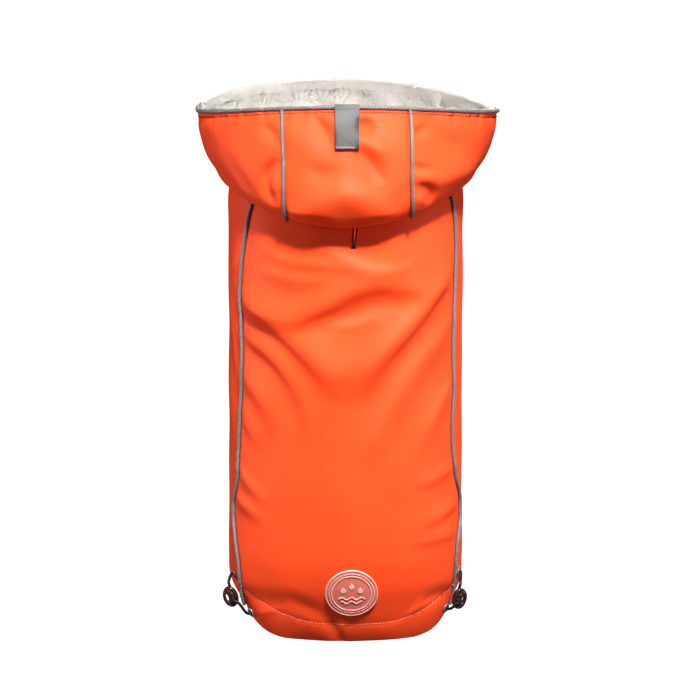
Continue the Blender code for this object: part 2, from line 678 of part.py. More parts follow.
def make_seam_pipings():
    """Piping proud of the hood seams and of the body's back seams, along the panels' own rows."""
    for name, seam in (("hood_piping_left", "left"), ("hood_piping_right", "right")):
        surface = hood_panel(lambda row: hood_seam(seam, row), lambda row: hood_seam(seam, row) + 1)
        rows = np.array([HOOD_PIPING_TOP] + hood_rows()[1:-2])
        along = np.zeros(len(rows))
        points = surface(along, rows) + normals(surface, along, rows) * (PIPING_RADIUS + PIPING_STAND)
        tube(name, points, PIPING_RADIUS, "piping")
    for name, seam, nominal in (("back_piping_left", left_seam, NOMINAL_LEFT),
                                ("back_piping_right", right_seam, NOMINAL_RIGHT)):
        surface = body_panel(seam, lambda down: seam(down) + 1, nominal, nominal + 1)
        inner_rows = [row for row in body_rows() if BACK_PIPING["top"] < row < BACK_PIPING["bottom"]]
        rows = np.array([BACK_PIPING["top"]] + inner_rows + [BACK_PIPING["bottom"]])
        along = np.zeros(len(rows))
        points = surface(along, rows) + normals(surface, along, rows) * (PIPING_RADIUS + PIPING_STAND)
        tube(name, points, PIPING_RADIUS, "piping")


def make_label():
    """A bare satin tab that wraps over the rim piping and hangs on the hood's centre panel."""
    below = LABEL_PATH["below"]
    half = LABEL["width"] / 2
    columns = np.linspace(LABEL["middle"] - half, LABEL["middle"] + half, 4)
    edge_width = float(hood_ring("half_width", 0.0))
    row_length = running_length(HOOD_RINGS["back"], HOOD_RINGS["height_back"])
    rows = np.interp(np.maximum(below, 0), row_length, np.arange(len(row_length)))

    def surface(across, drop):
        return hood_point(np.degrees(np.arcsin(across / edge_width)), drop * (len(row_length) - 1))

    outer, inner = [], []
    for place, off in enumerate(LABEL_PATH["off"]):
        drop = np.full(len(columns), rows[place] / (len(row_length) - 1))
        face = surface(columns, drop)
        facing = normals(surface, columns, drop)
        rise = surface(columns, drop * 0) - surface(columns, drop * 0 + 0.02)
        rise = rise / np.linalg.norm(rise, axis=1, keepdims=True) * max(0.0, -below[place])
        inner.append(face + facing * off + rise)
        outer.append(inner[-1] + label_side(place) * facing
                     + label_top(place) * rise_direction(surface, columns))
    plan = plan_grid(list(range(len(columns))), list(range(len(below))))
    verts, shell = close_wall(np.concatenate(outer), np.concatenate(inner), plan[1])
    add_object("label_tab", verts, shell, "label_satin")


def rise_direction(surface, columns):
    rise = surface(columns, columns * 0) - surface(columns, columns * 0 + 0.02)
    return rise / np.linalg.norm(rise, axis=1, keepdims=True)


def label_turn(place):
    """Angle of the tab's outward side at a point of its path: up at the top, off the face lower down."""
    off, below = LABEL_PATH["off"], LABEL_PATH["below"]
    low, high = max(place - 1, 0), min(place + 1, len(off) - 1)
    return math.atan2(off[high] - off[low], below[high] - below[low])


def label_side(place):
    return LABEL["wall"] * math.cos(label_turn(place))


def label_top(place):
    return LABEL["wall"] * math.sin(label_turn(place))


def back_patch(middle_across, middle_height):
    """Surface near a place of the back, in millimetres across and up from there."""
    middle_down = float(down_at(middle_height))

    def surface(across, up):
        down = middle_down - up
        angle = np.degrees(np.arcsin((middle_across + across) / body_ring("half_width", down)))
        return body_point(angle, down)

    return surface


def make_badge():
    """A soft rubber badge, bent to the cloth, with a raised rim."""
    radius = BADGE["radius"]
    flat = radius - BADGE["rim"]
    rings = (flat / 3, flat * 2 / 3, flat - BADGE["rim_slope"], flat, radius)
    points, faces = plan_disc(rings, BADGE["segments"])
    surface = back_patch(BADGE["across"], BADGE["height"])
    across, up = np.array(points).T
    face = surface(across, up)
    step = 0.05
    over = surface(across + step, up) - surface(across - step, up)
    rise = surface(across, up + step) - surface(across, up - step)
    facing = np.cross(over, rise)
    facing = facing / np.linalg.norm(facing, axis=1, keepdims=True)
    far = np.hypot(across, up)
    lift = np.where(far > flat - BADGE["rim_slope"] / 2, BADGE["rim_lift"], 0) + BADGE["wall"]
    verts, shell = close_wall(face + facing * (SEAM_GAP + lift)[:, None], face + facing * SEAM_GAP, faces)
    add_object("badge", verts, shell, "badge_rubber")


def place_on_body(around, height, off):
    """A point off the body's face, with the face's normal there."""
    down = float(down_at(height))
    step = 0.02
    here = body_point(np.array([around]), np.array([down]))[0]
    over = body_point(np.array([around + step]), np.array([down]))[0] - here
    along = body_point(np.array([around]), np.array([down + step]))[0] - here
    facing = np.cross(along, over)
    facing = facing / np.linalg.norm(facing)
    return here + facing * off, facing


def make_eyelets():
    """Turned metal rings on the cloth where the drawcord goes in."""
    profile = ((EYELET["inner"], 0.0), (EYELET["inner"] + EYELET["slope_in"], EYELET["lift"]),
               (EYELET["outer"] - EYELET["slope_out"], EYELET["lift"]), (EYELET["outer"], 0.0))
    segments = 16
    for name, (around, height) in EYELETS.items():
        centre, facing = place_on_body(around, height, EYELET["stand"])
        over = np.cross(facing, (0, 0, 1.0))
        over = over / np.linalg.norm(over)
        rise = np.cross(facing, over)
        verts = []
        for k in range(segments):
            angle = 2 * math.pi * k / segments
            spoke = over * math.cos(angle) + rise * math.sin(angle)
            verts += [centre + spoke * reach + facing * lift for reach, lift in profile]
        size = len(profile)
        faces = [(k * size + j, k * size + (j + 1) % size,
                  (k + 1) % segments * size + (j + 1) % size, (k + 1) % segments * size + j)
                 for k in range(segments) for j in range(size)]
        add_object(name, verts, faces, "eyelet_metal")


def lock_axes(name):
    """Centre of a cord lock and its inward, long and face directions."""
    centre, long_axis, face_axis, slot_side = CORD_LOCKS[name]
    long_axis = np.array(long_axis) / np.linalg.norm(long_axis)
    inward = np.cross(long_axis, face_axis)
    inward = inward / np.linalg.norm(inward)
    face_axis = np.cross(inward, long_axis)
    if inward[0] * slot_side > 0:
        inward = -inward
    return np.array(centre), inward, long_axis, face_axis


def make_cord_locks():
    """Oval cord locks: a rounded plate with a see-through slot and a thicker middle."""
    segments = 20
    shares = (0.0, 0.35, 0.8, 1.0)
    for name in CORD_LOCKS:
        centre, inward, long_axis, face_axis = lock_axes(name)
        points, faces = [], []
        for share in shares:
            for k in range(segments):
                angle = 2 * math.pi * k / segments
                turn, rise = math.cos(angle), math.sin(angle)
                slot = (SLOT["middle"] + SLOT["half_wide"] * turn, SLOT["half_long"] * rise)
                rim = (CORD_LOCK["half_wide"] * turn, CORD_LOCK["half_long"] * rise)
                points.append((slot[0] + (rim[0] - slot[0]) * share, slot[1] + (rim[1] - slot[1]) * share))
        for ring in range(len(shares) - 1):
            near, far = ring * segments, (ring + 1) * segments
            faces += [(near + k, far + k, far + (k + 1) % segments, near + (k + 1) % segments)
                      for k in range(segments)]
        points = np.array(points)
        at_rim = np.arange(len(points)) >= (len(shares) - 1) * segments
        from_boss = np.hypot(points[:, 0] - CORD_LOCK["boss_middle"], points[:, 1])
        boss = CORD_LOCK["boss"] * np.exp(-(from_boss / CORD_LOCK["boss_reach"]) ** 2)
        half_thick = CORD_LOCK["half_thick"] * np.where(at_rim, CORD_LOCK["edge_share"], 1) + boss
        flat = centre + points[:, :1] * inward + points[:, 1:] * long_axis
        thick = face_axis * half_thick[:, None]
        verts, shell = close_wall(flat + thick, flat - thick, faces)
        add_object(name, verts, shell, "lock_plastic")


def make_drawcords():
    """The bare stretches of the hem's elastic cord, from each eyelet to the cord lock."""
    for name, (eyelet, lock, meeting, leaving) in DRAWCORDS.items():
        around, height = EYELETS[eyelet]
        start, facing = place_on_body(around, height, CORD_EXIT["start"])
        centre, inward, long_axis, face_axis = lock_axes(lock)
        axes = np.stack((inward, long_axis, face_axis))
        end = centre + np.array(meeting) @ axes
        leave = np.array(leaving) @ axes
        route = np.array((start, start + facing * CORD_EXIT["rise"], end + leave * CORD_EXIT["leave"], end))
        knots = np.concatenate(([0.0], np.cumsum(np.linalg.norm(np.diff(route, axis=0), axis=1))))
        fine = np.linspace(0, knots[-1], 7)
        points = np.stack([smooth(fine, knots, route[:, axis]) for axis in range(3)], axis=1)
        tube(name, points, CORD_RADIUS, "elastic", resolution=2)


def clear_scene():
    for leftover in list(bpy.data.objects):
        bpy.data.objects.remove(leftover, do_unlink=True)


def build():
    clear_scene()
    make_back()
    make_sides()
    make_hood()
    make_lining()
    make_rim_piping()
    make_seam_pipings()
    make_label()
    make_badge()
    make_eyelets()
    make_cord_locks()
    make_drawcords()


build()
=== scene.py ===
import math

import bpy
import numpy as np
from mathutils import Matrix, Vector


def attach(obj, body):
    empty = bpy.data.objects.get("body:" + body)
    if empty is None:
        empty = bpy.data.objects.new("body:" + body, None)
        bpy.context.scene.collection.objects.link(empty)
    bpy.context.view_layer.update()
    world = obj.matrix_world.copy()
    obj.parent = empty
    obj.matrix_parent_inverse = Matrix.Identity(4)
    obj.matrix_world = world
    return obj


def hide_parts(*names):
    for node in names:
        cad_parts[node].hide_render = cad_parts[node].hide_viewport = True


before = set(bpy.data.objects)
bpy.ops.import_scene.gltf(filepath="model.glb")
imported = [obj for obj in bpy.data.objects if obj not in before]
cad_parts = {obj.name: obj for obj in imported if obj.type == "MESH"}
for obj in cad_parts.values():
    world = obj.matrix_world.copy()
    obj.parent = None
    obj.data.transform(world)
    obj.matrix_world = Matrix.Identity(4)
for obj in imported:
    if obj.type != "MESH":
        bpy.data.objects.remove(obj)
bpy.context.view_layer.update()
mm = 0.001                       # tables and sizes below are in millimetres and degrees
print("frame loaded: %d nodes" % len(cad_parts))

# Camera: the coat is seen from its back, from a little above its middle
cameraView = {"distance": 3.2, "elevation": 8.0, "aim": (0.0045, 0.0, -0.202), "lens": 164.57, "sensor": 36.0}


def linkNew(name, data):
    thing = bpy.data.objects.new(name, data)
    bpy.context.scene.collection.objects.link(thing)
    return thing


def addCamera():
    data = bpy.data.cameras.new("camera")
    data.lens = cameraView["lens"]
    data.sensor_width = cameraView["sensor"]
    data.clip_end = 60
    camera = linkNew("camera", data)
    tilt = math.radians(cameraView["elevation"])
    back = Vector((0, -math.cos(tilt), math.sin(tilt)))
    camera.location = Vector(cameraView["aim"]) + back * cameraView["distance"]
    camera.rotation_euler = (-back).to_track_quat("-Z", "Y").to_euler()
    bpy.context.scene.camera = camera


addCamera()
print("camera placed")


# Curves and folds


def table(columns, *rows):  # one array for each named column
    values = np.array(rows, dtype=float)
    return {name: values[:, place] for place, name in enumerate(columns.split())}


def smooth(at, keys, values):  # a cubic through the rows that never overshoots them
    at = np.clip(at, keys[0], keys[-1])
    low = np.clip(np.searchsorted(keys, at, side="right") - 1, 0, len(keys) - 2)
    gaps = np.diff(keys)
    slopes = np.diff(values) / gaps
    bends = np.zeros(len(keys))
    before, after = slopes[:-1], slopes[1:]
    even = before * after > 0
    bends[1:-1][even] = 2 * before[even] * after[even] / (before + after)[even]
    bends[0], bends[-1] = slopes[0], slopes[-1]
    gap = gaps[low]
    part = (at - keys[low]) / gap
    start = values[low] * (1 + 2 * part) + bends[low] * gap * part
    end = values[low + 1] * (3 - 2 * part) - bends[low + 1] * gap * (1 - part)
    return start * (1 - part) ** 2 + end * part ** 2


def unit(vectors):
    return vectors / np.maximum(np.linalg.norm(vectors, axis=-1, keepdims=True), 1e-12)


def lengthAlong(points):
    return np.concatenate(([0.0], np.cumsum(np.linalg.norm(np.diff(points, axis=0), axis=1))))


def smoothLine(points, count):  # an even line of that many points through the given ones
    points = np.array(points, dtype=float)
    knots = lengthAlong(points)
    at = np.linspace(0, knots[-1], count)
    return np.stack([smooth(at, knots, points[:, axis]) for axis in range(points.shape[1])], axis=1)


def pointsAt(at, along, values):  # values of a line at those lengths along it
    return np.stack([np.interp(at, along, values[:, axis]) for axis in range(3)], axis=1)


def turnFrom(around, middle):  # degrees from there, between -180 and 180
    return (np.asarray(around, dtype=float) - middle + 180) % 360 - 180


def bell(away, reach):  # 1 in the middle, fading to 0 beyond the reach
    return np.exp(-(away / reach) ** 2)


def foldPaths(folds, place, steps=8):  # lift, reach above and below, and a fine path on the rolled-out cloth
    paths = []
    for lift, above, below, points in folds:
        points = np.array(points, dtype=float)
        rolled = np.stack((place(points[:, 0]), points[:, 1]), axis=1)
        paths.append((lift, above, below, smoothLine(rolled, steps * (len(points) - 1) + 1)))
    return paths


def foldLift(paths, across, height):  # how far the folds raise the cloth
    across, height = np.broadcast_arrays(np.asarray(across, float), np.asarray(height, float))
    total = np.zeros(across.shape)
    for lift, above, below, path in paths:
        edge = 2.6 * max(above, below)
        near = ((across > path[:, 0].min() - edge) & (across < path[:, 0].max() + edge)
                & (height > path[:, 1].min() - edge) & (height < path[:, 1].max() + edge))
        x, z = across[near], height[near]
        nearest = np.full(x.shape, 1e9)
        reach = np.full(x.shape, float(above))
        share = np.zeros(x.shape)
        for step in range(len(path) - 1):
            runX, runZ = path[step + 1] - path[step]
            offX, offZ = x - path[step, 0], z - path[step, 1]
            along = np.clip((offX * runX + offZ * runZ) / (runX ** 2 + runZ ** 2), 0, 1)
            away = np.hypot(offX - along * runX, offZ - along * runZ)
            closer = away < nearest
            nearest = np.where(closer, away, nearest)
            reach = np.where(closer, np.where(runX * offZ - runZ * offX >= 0, above, below), reach)
            share = np.where(closer, (step + along) / (len(path) - 1), share)
        ends = 0.3 + 0.7 * np.sin(np.pi * share) ** 0.7
        total[near] += lift * ends * bell(nearest, reach)
    return total


def ripples(x, z, size, waves, seed):  # gentle uneven swells, between about -1 and 1
    draw = np.random.default_rng(seed)
    total = np.zeros(np.broadcast(x, z).shape)
    for wave in range(waves):
        turn, phase = draw.uniform(0, 2 * math.pi, 2)
        length = size * draw.uniform(0.7, 1.6)
        total = total + np.sin((x * math.cos(turn) + z * math.sin(turn)) * 2 * math.pi / length + phase)
    return total / math.sqrt(waves)


def puckers(along, away, reach, seed):  # small gathers along a line of sewing, fading away from it
    draw = np.random.default_rng(seed)
    total = np.zeros(np.shape(along))
    for length in (7.0, 11.0, 17.0, 29.0):
        length = length * draw.uniform(0.85, 1.15)
        total = total + np.sin(along * 2 * math.pi / length + draw.uniform(0, 6.28))
    gate = 0.55 + 0.45 * np.sin(along / draw.uniform(21, 33) + draw.uniform(0, 6.28))
    return total / 2 * gate * np.exp(-np.abs(away) / reach)


# The coat's body: cross-sections, hem, seams and folds, as in the solids
bodyRings = table(
    "height halfWidth back belly",
    (0, 74, 73, 76),
    (-6, 86, 80, 84),
    (-14, 96, 86, 90),
    (-22, 104, 90, 94),
    (-30, 110, 93, 97),
    (-38, 116, 96, 100),
    (-52, 117, 100, 105),
    (-80, 116.5, 105, 110),
    (-120, 116.5, 108, 113),
    (-190, 116.5, 108, 112),
    (-280, 116.5, 107, 106),
    (-350, 117, 105, 102),
    (-395, 117.5, 101, 98),
    (-425, 116, 94, 94),
    (-450, 110, 84, 90),
    (-470, 104.5, 74, 86),
    (-490, 99, 63, 82),
)
hemLine = table(
    "away height",
    (0, -484.5), (38, -484), (52, -480), (62, -471), (68, -461), (73, -450), (80, -443),
    (92, -434), (115, -404), (145, -372), (165, -362), (180, -360),
)
casingLine = table(  # the stitch line above the hem
    "away height",
    (0, -465), (18, -464.5), (38, -457), (50, -449), (63, -439.5), (72, -429), (80, -423), (92, -413),
    (115, -383), (145, -351), (165, -341), (180, -339),
)
seamLines = table(
    "height left right",
    (0, -46, 56), (-46, -50.3, 62.3), (-62, -53.4, 65), (-78, -56.3, 66.7), (-98, -59.2, 67.8),
    (-120, -61, 67.3), (-142, -61.9, 66.8), (-170, -60.7, 65.3), (-198, -60.1, 65.1),
    (-230, -61.3, 65.3), (-266, -63.1, 64.8), (-300, -64.4, 66), (-316, -64.9, 67.4),
    (-328, -66.3, 69.8), (-340, -68.9, 73.4), (-352, -71.4, 75.8), (-364, -71.2, 75.7),
    (-378, -69.4, 73.3), (-394, -66.9, 70.6), (-410, -64.8, 69.6), (-424, -64.1, 69.9),
    (-440, -65.8, 72), (-470, -67.5, 73.5),
)
backFolds = (
    (2.3, 5, 10, ((-17, -90), (5, -102), (33, -111), (55, -109), (72, -99))),
    (1.6, 7, 5, ((-82, -93), (-53, -103), (-20, -106), (16, -109))),
    (1.8, 6, 7, ((-78, -114), (-44, -121), (-12, -116))),
    (5.4, 17, 10, ((-104, -139), (-76, -154), (-52, -158), (-20, -145), (6, -129), (32, -123), (58, -127),
                   (84, -132))),
    (-3.4, 10, 12, ((-46, -166), (-20, -160), (5, -152), (32, -143), (62, -143))),
    (1.3, 5, 6, ((-22, -162), (3, -164), (26, -156))),
    (6.0, 22, 20, ((-48, -176), (-26, -197), (-5, -208), (16, -204), (41, -183), (65, -160), (86, -137))),
    (3.2, 14, 9, ((-106, -146), (-73, -164), (-48, -183), (-26, -204), (-13, -224))),
    (-1.7, 8, 9, ((-100, -160), (-73, -178), (-50, -198), (-32, -220))),
    (2.8, 11, 9, ((-106, -174), (-75, -193), (-53, -218), (-42, -242), (-36, -266))),
    (-1.5, 8, 9, ((-104, -188), (-78, -206), (-58, -232), (-48, -258))),
    (2.6, 12, 10, ((-106, -214), (-82, -239), (-68, -268))),
    (2.1, 12, 9, ((-106, -250), (-86, -282))),
    (4.4, 10, 14, ((12, -230), (30, -199), (55, -171), (78, -146), (106, -112))),
    (-2.9, 8, 10, ((20, -243), (40, -208), (64, -180), (86, -152), (104, -130))),
    (4.4, 9, 15, ((24, -288), (43, -249), (58, -221), (81, -191), (108, -160))),
    (3.4, 9, 12, ((74, -282), (91, -250), (109, -220))),
    (2.1, 6, 9, ((-108, -310), (-78, -341))),
    (2.1, 7, 8, ((-110, -342), (-82, -358))),
    (2.1, 9, 6, ((71, -325), (113, -308))),
    (2.3, 10, 6, ((76, -365), (112, -348))),
    (2.1, 10, 6, ((66, -381), (112, -379))),
    (-1.2, 9, 12, ((-114, -452), (-96, -443), (-72, -443), (-50, -446))),
    (-2.2, 9, 9, ((-62, -436), (-40, -447), (-16, -458))),
    (-2.6, 10, 10, ((78, -441), (95, -441), (113, -446))),
)
bellyFolds = (
    (3.0, 13, 9, ((-104, -176), (-70, -196), (-34, -204), (0, -196), (32, -203), (70, -194), (104, -174))),
    (2.6, 12, 10, ((-100, -212), (-66, -240), (-40, -262))),
    (2.6, 11, 9, ((36, -268), (64, -236), (100, -208))),
    (2.2, 12, 9, ((-104, -258), (-74, -286), (-58, -312))),
    (2.2, 11, 10, ((50, -316), (78, -290), (104, -262))),
    (2.4, 10, 9, ((-30, -60), (0, -72), (30, -62))),
    (1.8, 9, 8, ((-24, -96), (0, -104), (26, -98))),
    (1.8, 12, 9, ((-50, -318), (0, -330), (46, -320))),
)
# Narrower creases that only show close up: lift, reach above, reach below, points from left to right
fineCreases = (
    (0.8, 2.5, 4.5, ((-116, -92), (-110, -80), (-104, -70))),
    (0.8, 2.5, 4.5, ((-116, -124), (-110, -112), (-105, -104))),
    (0.7, 3.0, 4.0, ((-115, -150), (-111, -190), (-108, -232))),
    (0.9, 3.0, 4.5, ((105, -80), (109, -58), (114, -46))),
    (0.8, 3.0, 5.0, ((8, -447), (0, -462), (-7, -484))),
    (-2.8, 4.0, 9.0, ((-16, -460), (-9, -473), (-3, -487))),
    (0.8, 3.5, 4.0, ((-96, -462), (-80, -455), (-66, -452))),
    (0.7, 3.0, 4.0, ((66, -456), (80, -450), (92, -446))),
    (0.7, 3.0, 4.0, ((58, -468), (70, -456), (84, -436))),
)
bodyShape = {"roll": 112.0, "foldView": 117.5, "neckHold": 14.0, "seamHold": 5.0, "hemTurn": 3.5,
             "fadeStart": 1.25, "fadeDrop": 0.95, "fadePower": 12}
bodyLook = {"seamDip": 1.0, "seamWidth": 2.8, "puckers": 0.28, "puckerReach": 7.0, "swells": 0.35,
            "swellSize": 46,
            "hemPuckers": 0.5, "casingPuff": 1.0, "stitchGroove": 0.6, "grooveWidth": 1.3, "sheetStep": 2.3,
            "wall": 1.3}
badge = {"across": 6.0, "height": -430.0, "radius": 25.7, "wall": 1.6, "rim": 1.5, "rimLift": 0.45,
         "relief": 0.65, "rimRings": 1.15, "ringLift": 0.25, "edgeRound": 0.9, "edgeDrop": 1.3,
         "stand": 0.3, "sink": 0.2}
bodyRings["down"] = lengthAlong(np.stack((bodyRings["back"], bodyRings["height"]), axis=1))
bellySeam = 180 + bodyShape["hemTurn"]


def rolledBack(across):
    return bodyShape["roll"] * np.arcsin(np.clip(np.asarray(across, float) / bodyShape["foldView"], -1, 1))


backPaths = foldPaths(backFolds, rolledBack)
bellyPaths = foldPaths(bellyFolds, lambda across: -rolledBack(across))
finePaths = foldPaths(fineCreases, rolledBack)


def bodyRing(name, down):
    return smooth(down, bodyRings["down"], bodyRings[name])


def downAt(height):
    return np.interp(-np.asarray(height, dtype=float), -bodyRings["height"], bodyRings["down"])


def lineDown(line, around):  # running length from the neck to the hem or to the casing's stitches
    away = np.abs(turnFrom(around, bodyShape["hemTurn"]))
    return downAt(smooth(away, line["away"], line["height"]))


def seamAround(name, down):
    return smooth(-bodyRing("height", down), -seamLines["height"], seamLines[name])


def bodyPoint(around, down, off=0.0, dips=True):  # a point of the outer face, with its folds and sewing
    angle = np.radians(around)
    side, facing = np.sin(angle), np.cos(angle)
    halfWidth = bodyRing("halfWidth", down)
    depth = np.where(facing > 0, bodyRing("back", down), bodyRing("belly", down))
    height = bodyRing("height", down)
    turn = turnFrom(around, 0)
    roll = bodyShape["roll"]
    rolled = roll * np.radians(turn)
    lift = foldLift(backPaths, rolled, height)
    lift = lift + foldLift(bellyPaths, roll * np.radians(turnFrom(around, 180)), height)
    lift = lift + foldLift(finePaths, rolled, height)
    leftGap, rightGap = turn - seamAround("left", down), turn - seamAround("right", down)
    hold = bodyShape["seamHold"]
    held = bell(leftGap, hold) + bell(rightGap, hold)
    drop = bodyShape["fadeDrop"] * np.abs(side) ** bodyShape["fadePower"]
    lift = lift * (1 - 0.7 * held) * np.clip(bodyShape["fadeStart"] - drop, 0, 1)
    fromBadge = np.hypot(rolled - rolledBack(badge["across"]), height - badge["height"]) / badge["radius"]
    onBadge = np.clip(1.35 - fromBadge, 0, 1)
    lift = lift + bodyLook["swells"] * ripples(rolled, height, bodyLook["swellSize"], 5, 3) * (1 - onBadge)
    gaps = [np.abs(gap) * math.pi / 180 * roll for gap in (leftGap, rightGap, turnFrom(around, bellySeam))]
    nearest = np.minimum(np.minimum(gaps[0], gaps[1]), gaps[2])
    lift = lift + bodyLook["puckers"] * puckers(down, nearest, bodyLook["puckerReach"], 5)
    lift = lift * np.clip(down / bodyShape["neckHold"] - 1, 0, 1)
    casing, hem = lineDown(casingLine, around), lineDown(hemLine, around)
    inCasing = np.clip((down - casing) / np.maximum(hem - casing, 1), 0, 1)
    lift = lift + bodyLook["casingPuff"] * np.sin(np.pi * inCasing) ** 0.8
    lift = lift - bodyLook["stitchGroove"] * bell(down - casing, bodyLook["grooveWidth"])
    lift = lift + bodyLook["hemPuckers"] * puckers(rolled, down - casing, 5.0, 8) * (1 - onBadge)
    if dips:
        lift = lift - bodyLook["seamDip"] * bell(nearest, bodyLook["seamWidth"])
    lift = lift + off
    outX, outY = side / halfWidth, -facing / depth
    length = np.hypot(outX, outY)
    lift = lift / length
    return np.stack((halfWidth * side + lift * outX, -depth * facing + lift * outY, height), axis=-1)


# The hood, from its rim down round the pouch and back up to the neck seam
hoodRings = table(
    "halfWidth back front heightBack heightSide heightFront",
    (147.5, 101, 100, 45.2, 35.5, 60),
    (147.5, 112, 101, 31, 24, 48),
    (144, 121.5, 100, 11.3, 8, 36),
    (137.6, 128.5, 97, -13, -8, 27),
    (130, 132, 93, -38, -19, 19),
    (125.2, 129.5, 90, -56, -27.3, 14),
    (119.8, 121, 87, -67, -32.3, 10.5),
    (114.8, 112.5, 85, -64, -28.5, 8),
    (111.3, 107.5, 83, -52, -22.5, 6.5),
    (106, 101.5, 81, -36, -17, 5),
    (97.5, 95, 79, -20, -9.5, 3.5),
    (87, 86, 77.5, -6, -3, 2),
    (74, 73, 76, 0.35, 0.35, 0.35),
)
hoodSeams = table("row left right", (0, -62, 61), (6, -57, 64), (12, -43, 47))
hoodFolds = (
    (-6.0, 6, 8, ((-30, 36), (-24, 30), (-18, 22), (-15, 13))),
    (-8.0, 6, 7, ((10, 31), (18, 30), (26, 34))),
    (2.6, 7, 6, ((17, 14), (29, 9), (42, 2))),
    (-6.0, 8, 10, ((10, 8), (19, 0), (27, -9), (35, -23))),
    (-2.0, 7, 7, ((-36, -8), (-22, -15), (-8, -12))),
    (6.4, 14, 17, ((-58, -62), (-38, -55), (-22, -43), (0, -36), (18, -40), (34, -52), (48, -62))),
    (-4.5, 4, 6, ((63, 25), (71, 23), (78, 27))),
    (-6.0, 10, 11, ((78, 36), (89, 24), (100, 12), (114, 5))),
    (4.8, 12, 13, ((60, -21), (78, -22), (95, -22), (112, -20), (128, -18))),
    (-4.6, 3, 4, ((62, -7), (71, -10), (80, -13))),
    (-4.6, 4, 9, ((58, -30), (66, -28), (75, -28), (82, -35), (80, -44))),
    (2.0, 4, 5, ((60, -44), (70, -41), (78, -46))),
    (-4.4, 4, 7, ((-78, 28), (-70, 23), (-62, 14))),
    (-5.2, 5, 4, ((-56, -5), (-66, -6), (-74, -12), (-78, -22), (-76, -33), (-70, -42))),
    (2.6, 7, 7, ((-66, -34), (-64, -26), (-62, -18))),
)
hoodShape = {"shift": 2.2, "throatShift": -11.5, "throatEase": 0.08, "pouchRow": 6, "rimSoftness": 0.3,
             "seamHold": 5.5, "pouchEnd": 5.9, "pouchFade": 0.9, "sideFade": 3.0, "rimFade": 2.0,
             "rimReach": 130, "throatReach": 95}
hoodLook = {"seamDip": 1.0, "seamWidth": 2.6, "puckers": 1.5, "puckerReach": 7.0, "swells": 0.45,
            "swellSize": 40, "topstitch": 4.0, "stitchGroove": 0.6, "grooveWidth": 1.3, "ditch": 0.2,
            "ditchBelow": 1.2, "sheetStep": 2.2, "wall": 1.3}
hoodPaths = foldPaths(hoodFolds, lambda across: across)
lastRow = len(hoodRings["back"]) - 1


def hoodRing(name, row):
    return smooth(row, np.arange(lastRow + 1, dtype=float), hoodRings[name])


def hoodBase(around, row):  # the smooth form, and its outward direction
    angle = np.radians(around)
    side, facing = np.sin(angle), np.cos(angle)
    halfWidth = hoodRing("halfWidth", row)
    soft = np.sqrt(facing ** 2 + hoodShape["rimSoftness"] ** 2) - hoodShape["rimSoftness"]
    soft = soft / (math.hypot(1, hoodShape["rimSoftness"]) - hoodShape["rimSoftness"])
    middle = hoodRing("heightSide", row)
    height = np.where(facing > 0, middle + (hoodRing("heightBack", row) - middle) * facing ** 2,
                      middle + (hoodRing("heightFront", row) - middle) * soft)
    depth = np.where(facing > 0, hoodRing("back", row), hoodRing("front", row))
    front, ease = np.clip(-facing, 0, 1) ** 2, hoodShape["throatEase"]
    shift = hoodShape["shift"] + hoodShape["throatShift"] * (1 + ease) * front / (front + ease)
    across = halfWidth * side + shift * np.clip(1 - row / hoodShape["pouchRow"], 0, 1)
    outX, outY = side / halfWidth, -facing / depth
    return np.stack((across, -depth * facing, height), axis=-1), unit(np.stack((outX, outY), axis=-1))


def hoodPoint(around, row, dips=True):
    around, row = np.broadcast_arrays(np.asarray(around, float), np.asarray(row, float))
    point, out = hoodBase(around, row)
    across, height = point[..., 0], point[..., 2]
    facing = np.cos(np.radians(around))
    steady = 0.2 + 0.8 * np.clip(facing * 1.6, 0, 1)
    fade = np.clip((hoodShape["pouchEnd"] - row) / hoodShape["pouchFade"], 0, 1)
    fade = fade * np.clip(facing * hoodShape["sideFade"], 0, 1) * np.clip(row * hoodShape["rimFade"], 0, 1)
    gaps = [across - smooth(row, hoodSeams["row"], hoodSeams[name]) for name in ("left", "right")]
    gaps = [np.where(facing > 0, gap, 999.0) for gap in gaps]
    held = sum(bell(gap, hoodShape["seamHold"]) for gap in gaps)
    lift = foldLift(hoodPaths, across, height) * fade * (1 - 0.8 * held)
    firstRow, rimRow = hoodBase(around, np.ones_like(row))[0], hoodBase(around, 0 * row)[0]
    below = row * np.linalg.norm(firstRow - rimRow, axis=-1)
    rolled = np.radians(around) * hoodShape["rimReach"]
    throat = (180 - np.abs(turnFrom(around, 0))) * math.pi / 180 * hoodShape["throatReach"]
    nearest = np.minimum(np.minimum(np.abs(gaps[0]), np.abs(gaps[1])), throat)
    sewn = puckers(rolled, below - hoodLook["topstitch"], hoodLook["puckerReach"], 21)
    sewn = sewn + 0.6 * puckers(row * 19, nearest, 6.0, 22)
    lift = lift + hoodLook["puckers"] * sewn * np.clip(1.5 - row / 3, 0, 1) * steady
    swells = ripples(rolled, row * 17, hoodLook["swellSize"], 5, 9) * np.clip(row, 0, 1)
    lift = lift + hoodLook["swells"] * swells * steady
    lift = lift - hoodLook["stitchGroove"] * bell(below - hoodLook["topstitch"], hoodLook["grooveWidth"])
    if dips:
        lift = lift - hoodLook["seamDip"] * bell(nearest, hoodLook["seamWidth"]) * np.clip(row * 6, 0, 1)
        lift = lift - hoodLook["ditch"] * bell(below - hoodLook["ditchBelow"], hoodLook["grooveWidth"])
    lift = lift * np.clip((lastRow - row) / 1.5, 0, 1)
    return point + np.concatenate((out * lift[..., None], 0 * lift[..., None]), axis=-1)


def hoodSeam(name, row):
    place = smooth(row, hoodSeams["row"], hoodSeams[name])
    return np.degrees(np.arcsin(np.clip(place / hoodRing("halfWidth", row), -1, 1)))


# Meshes


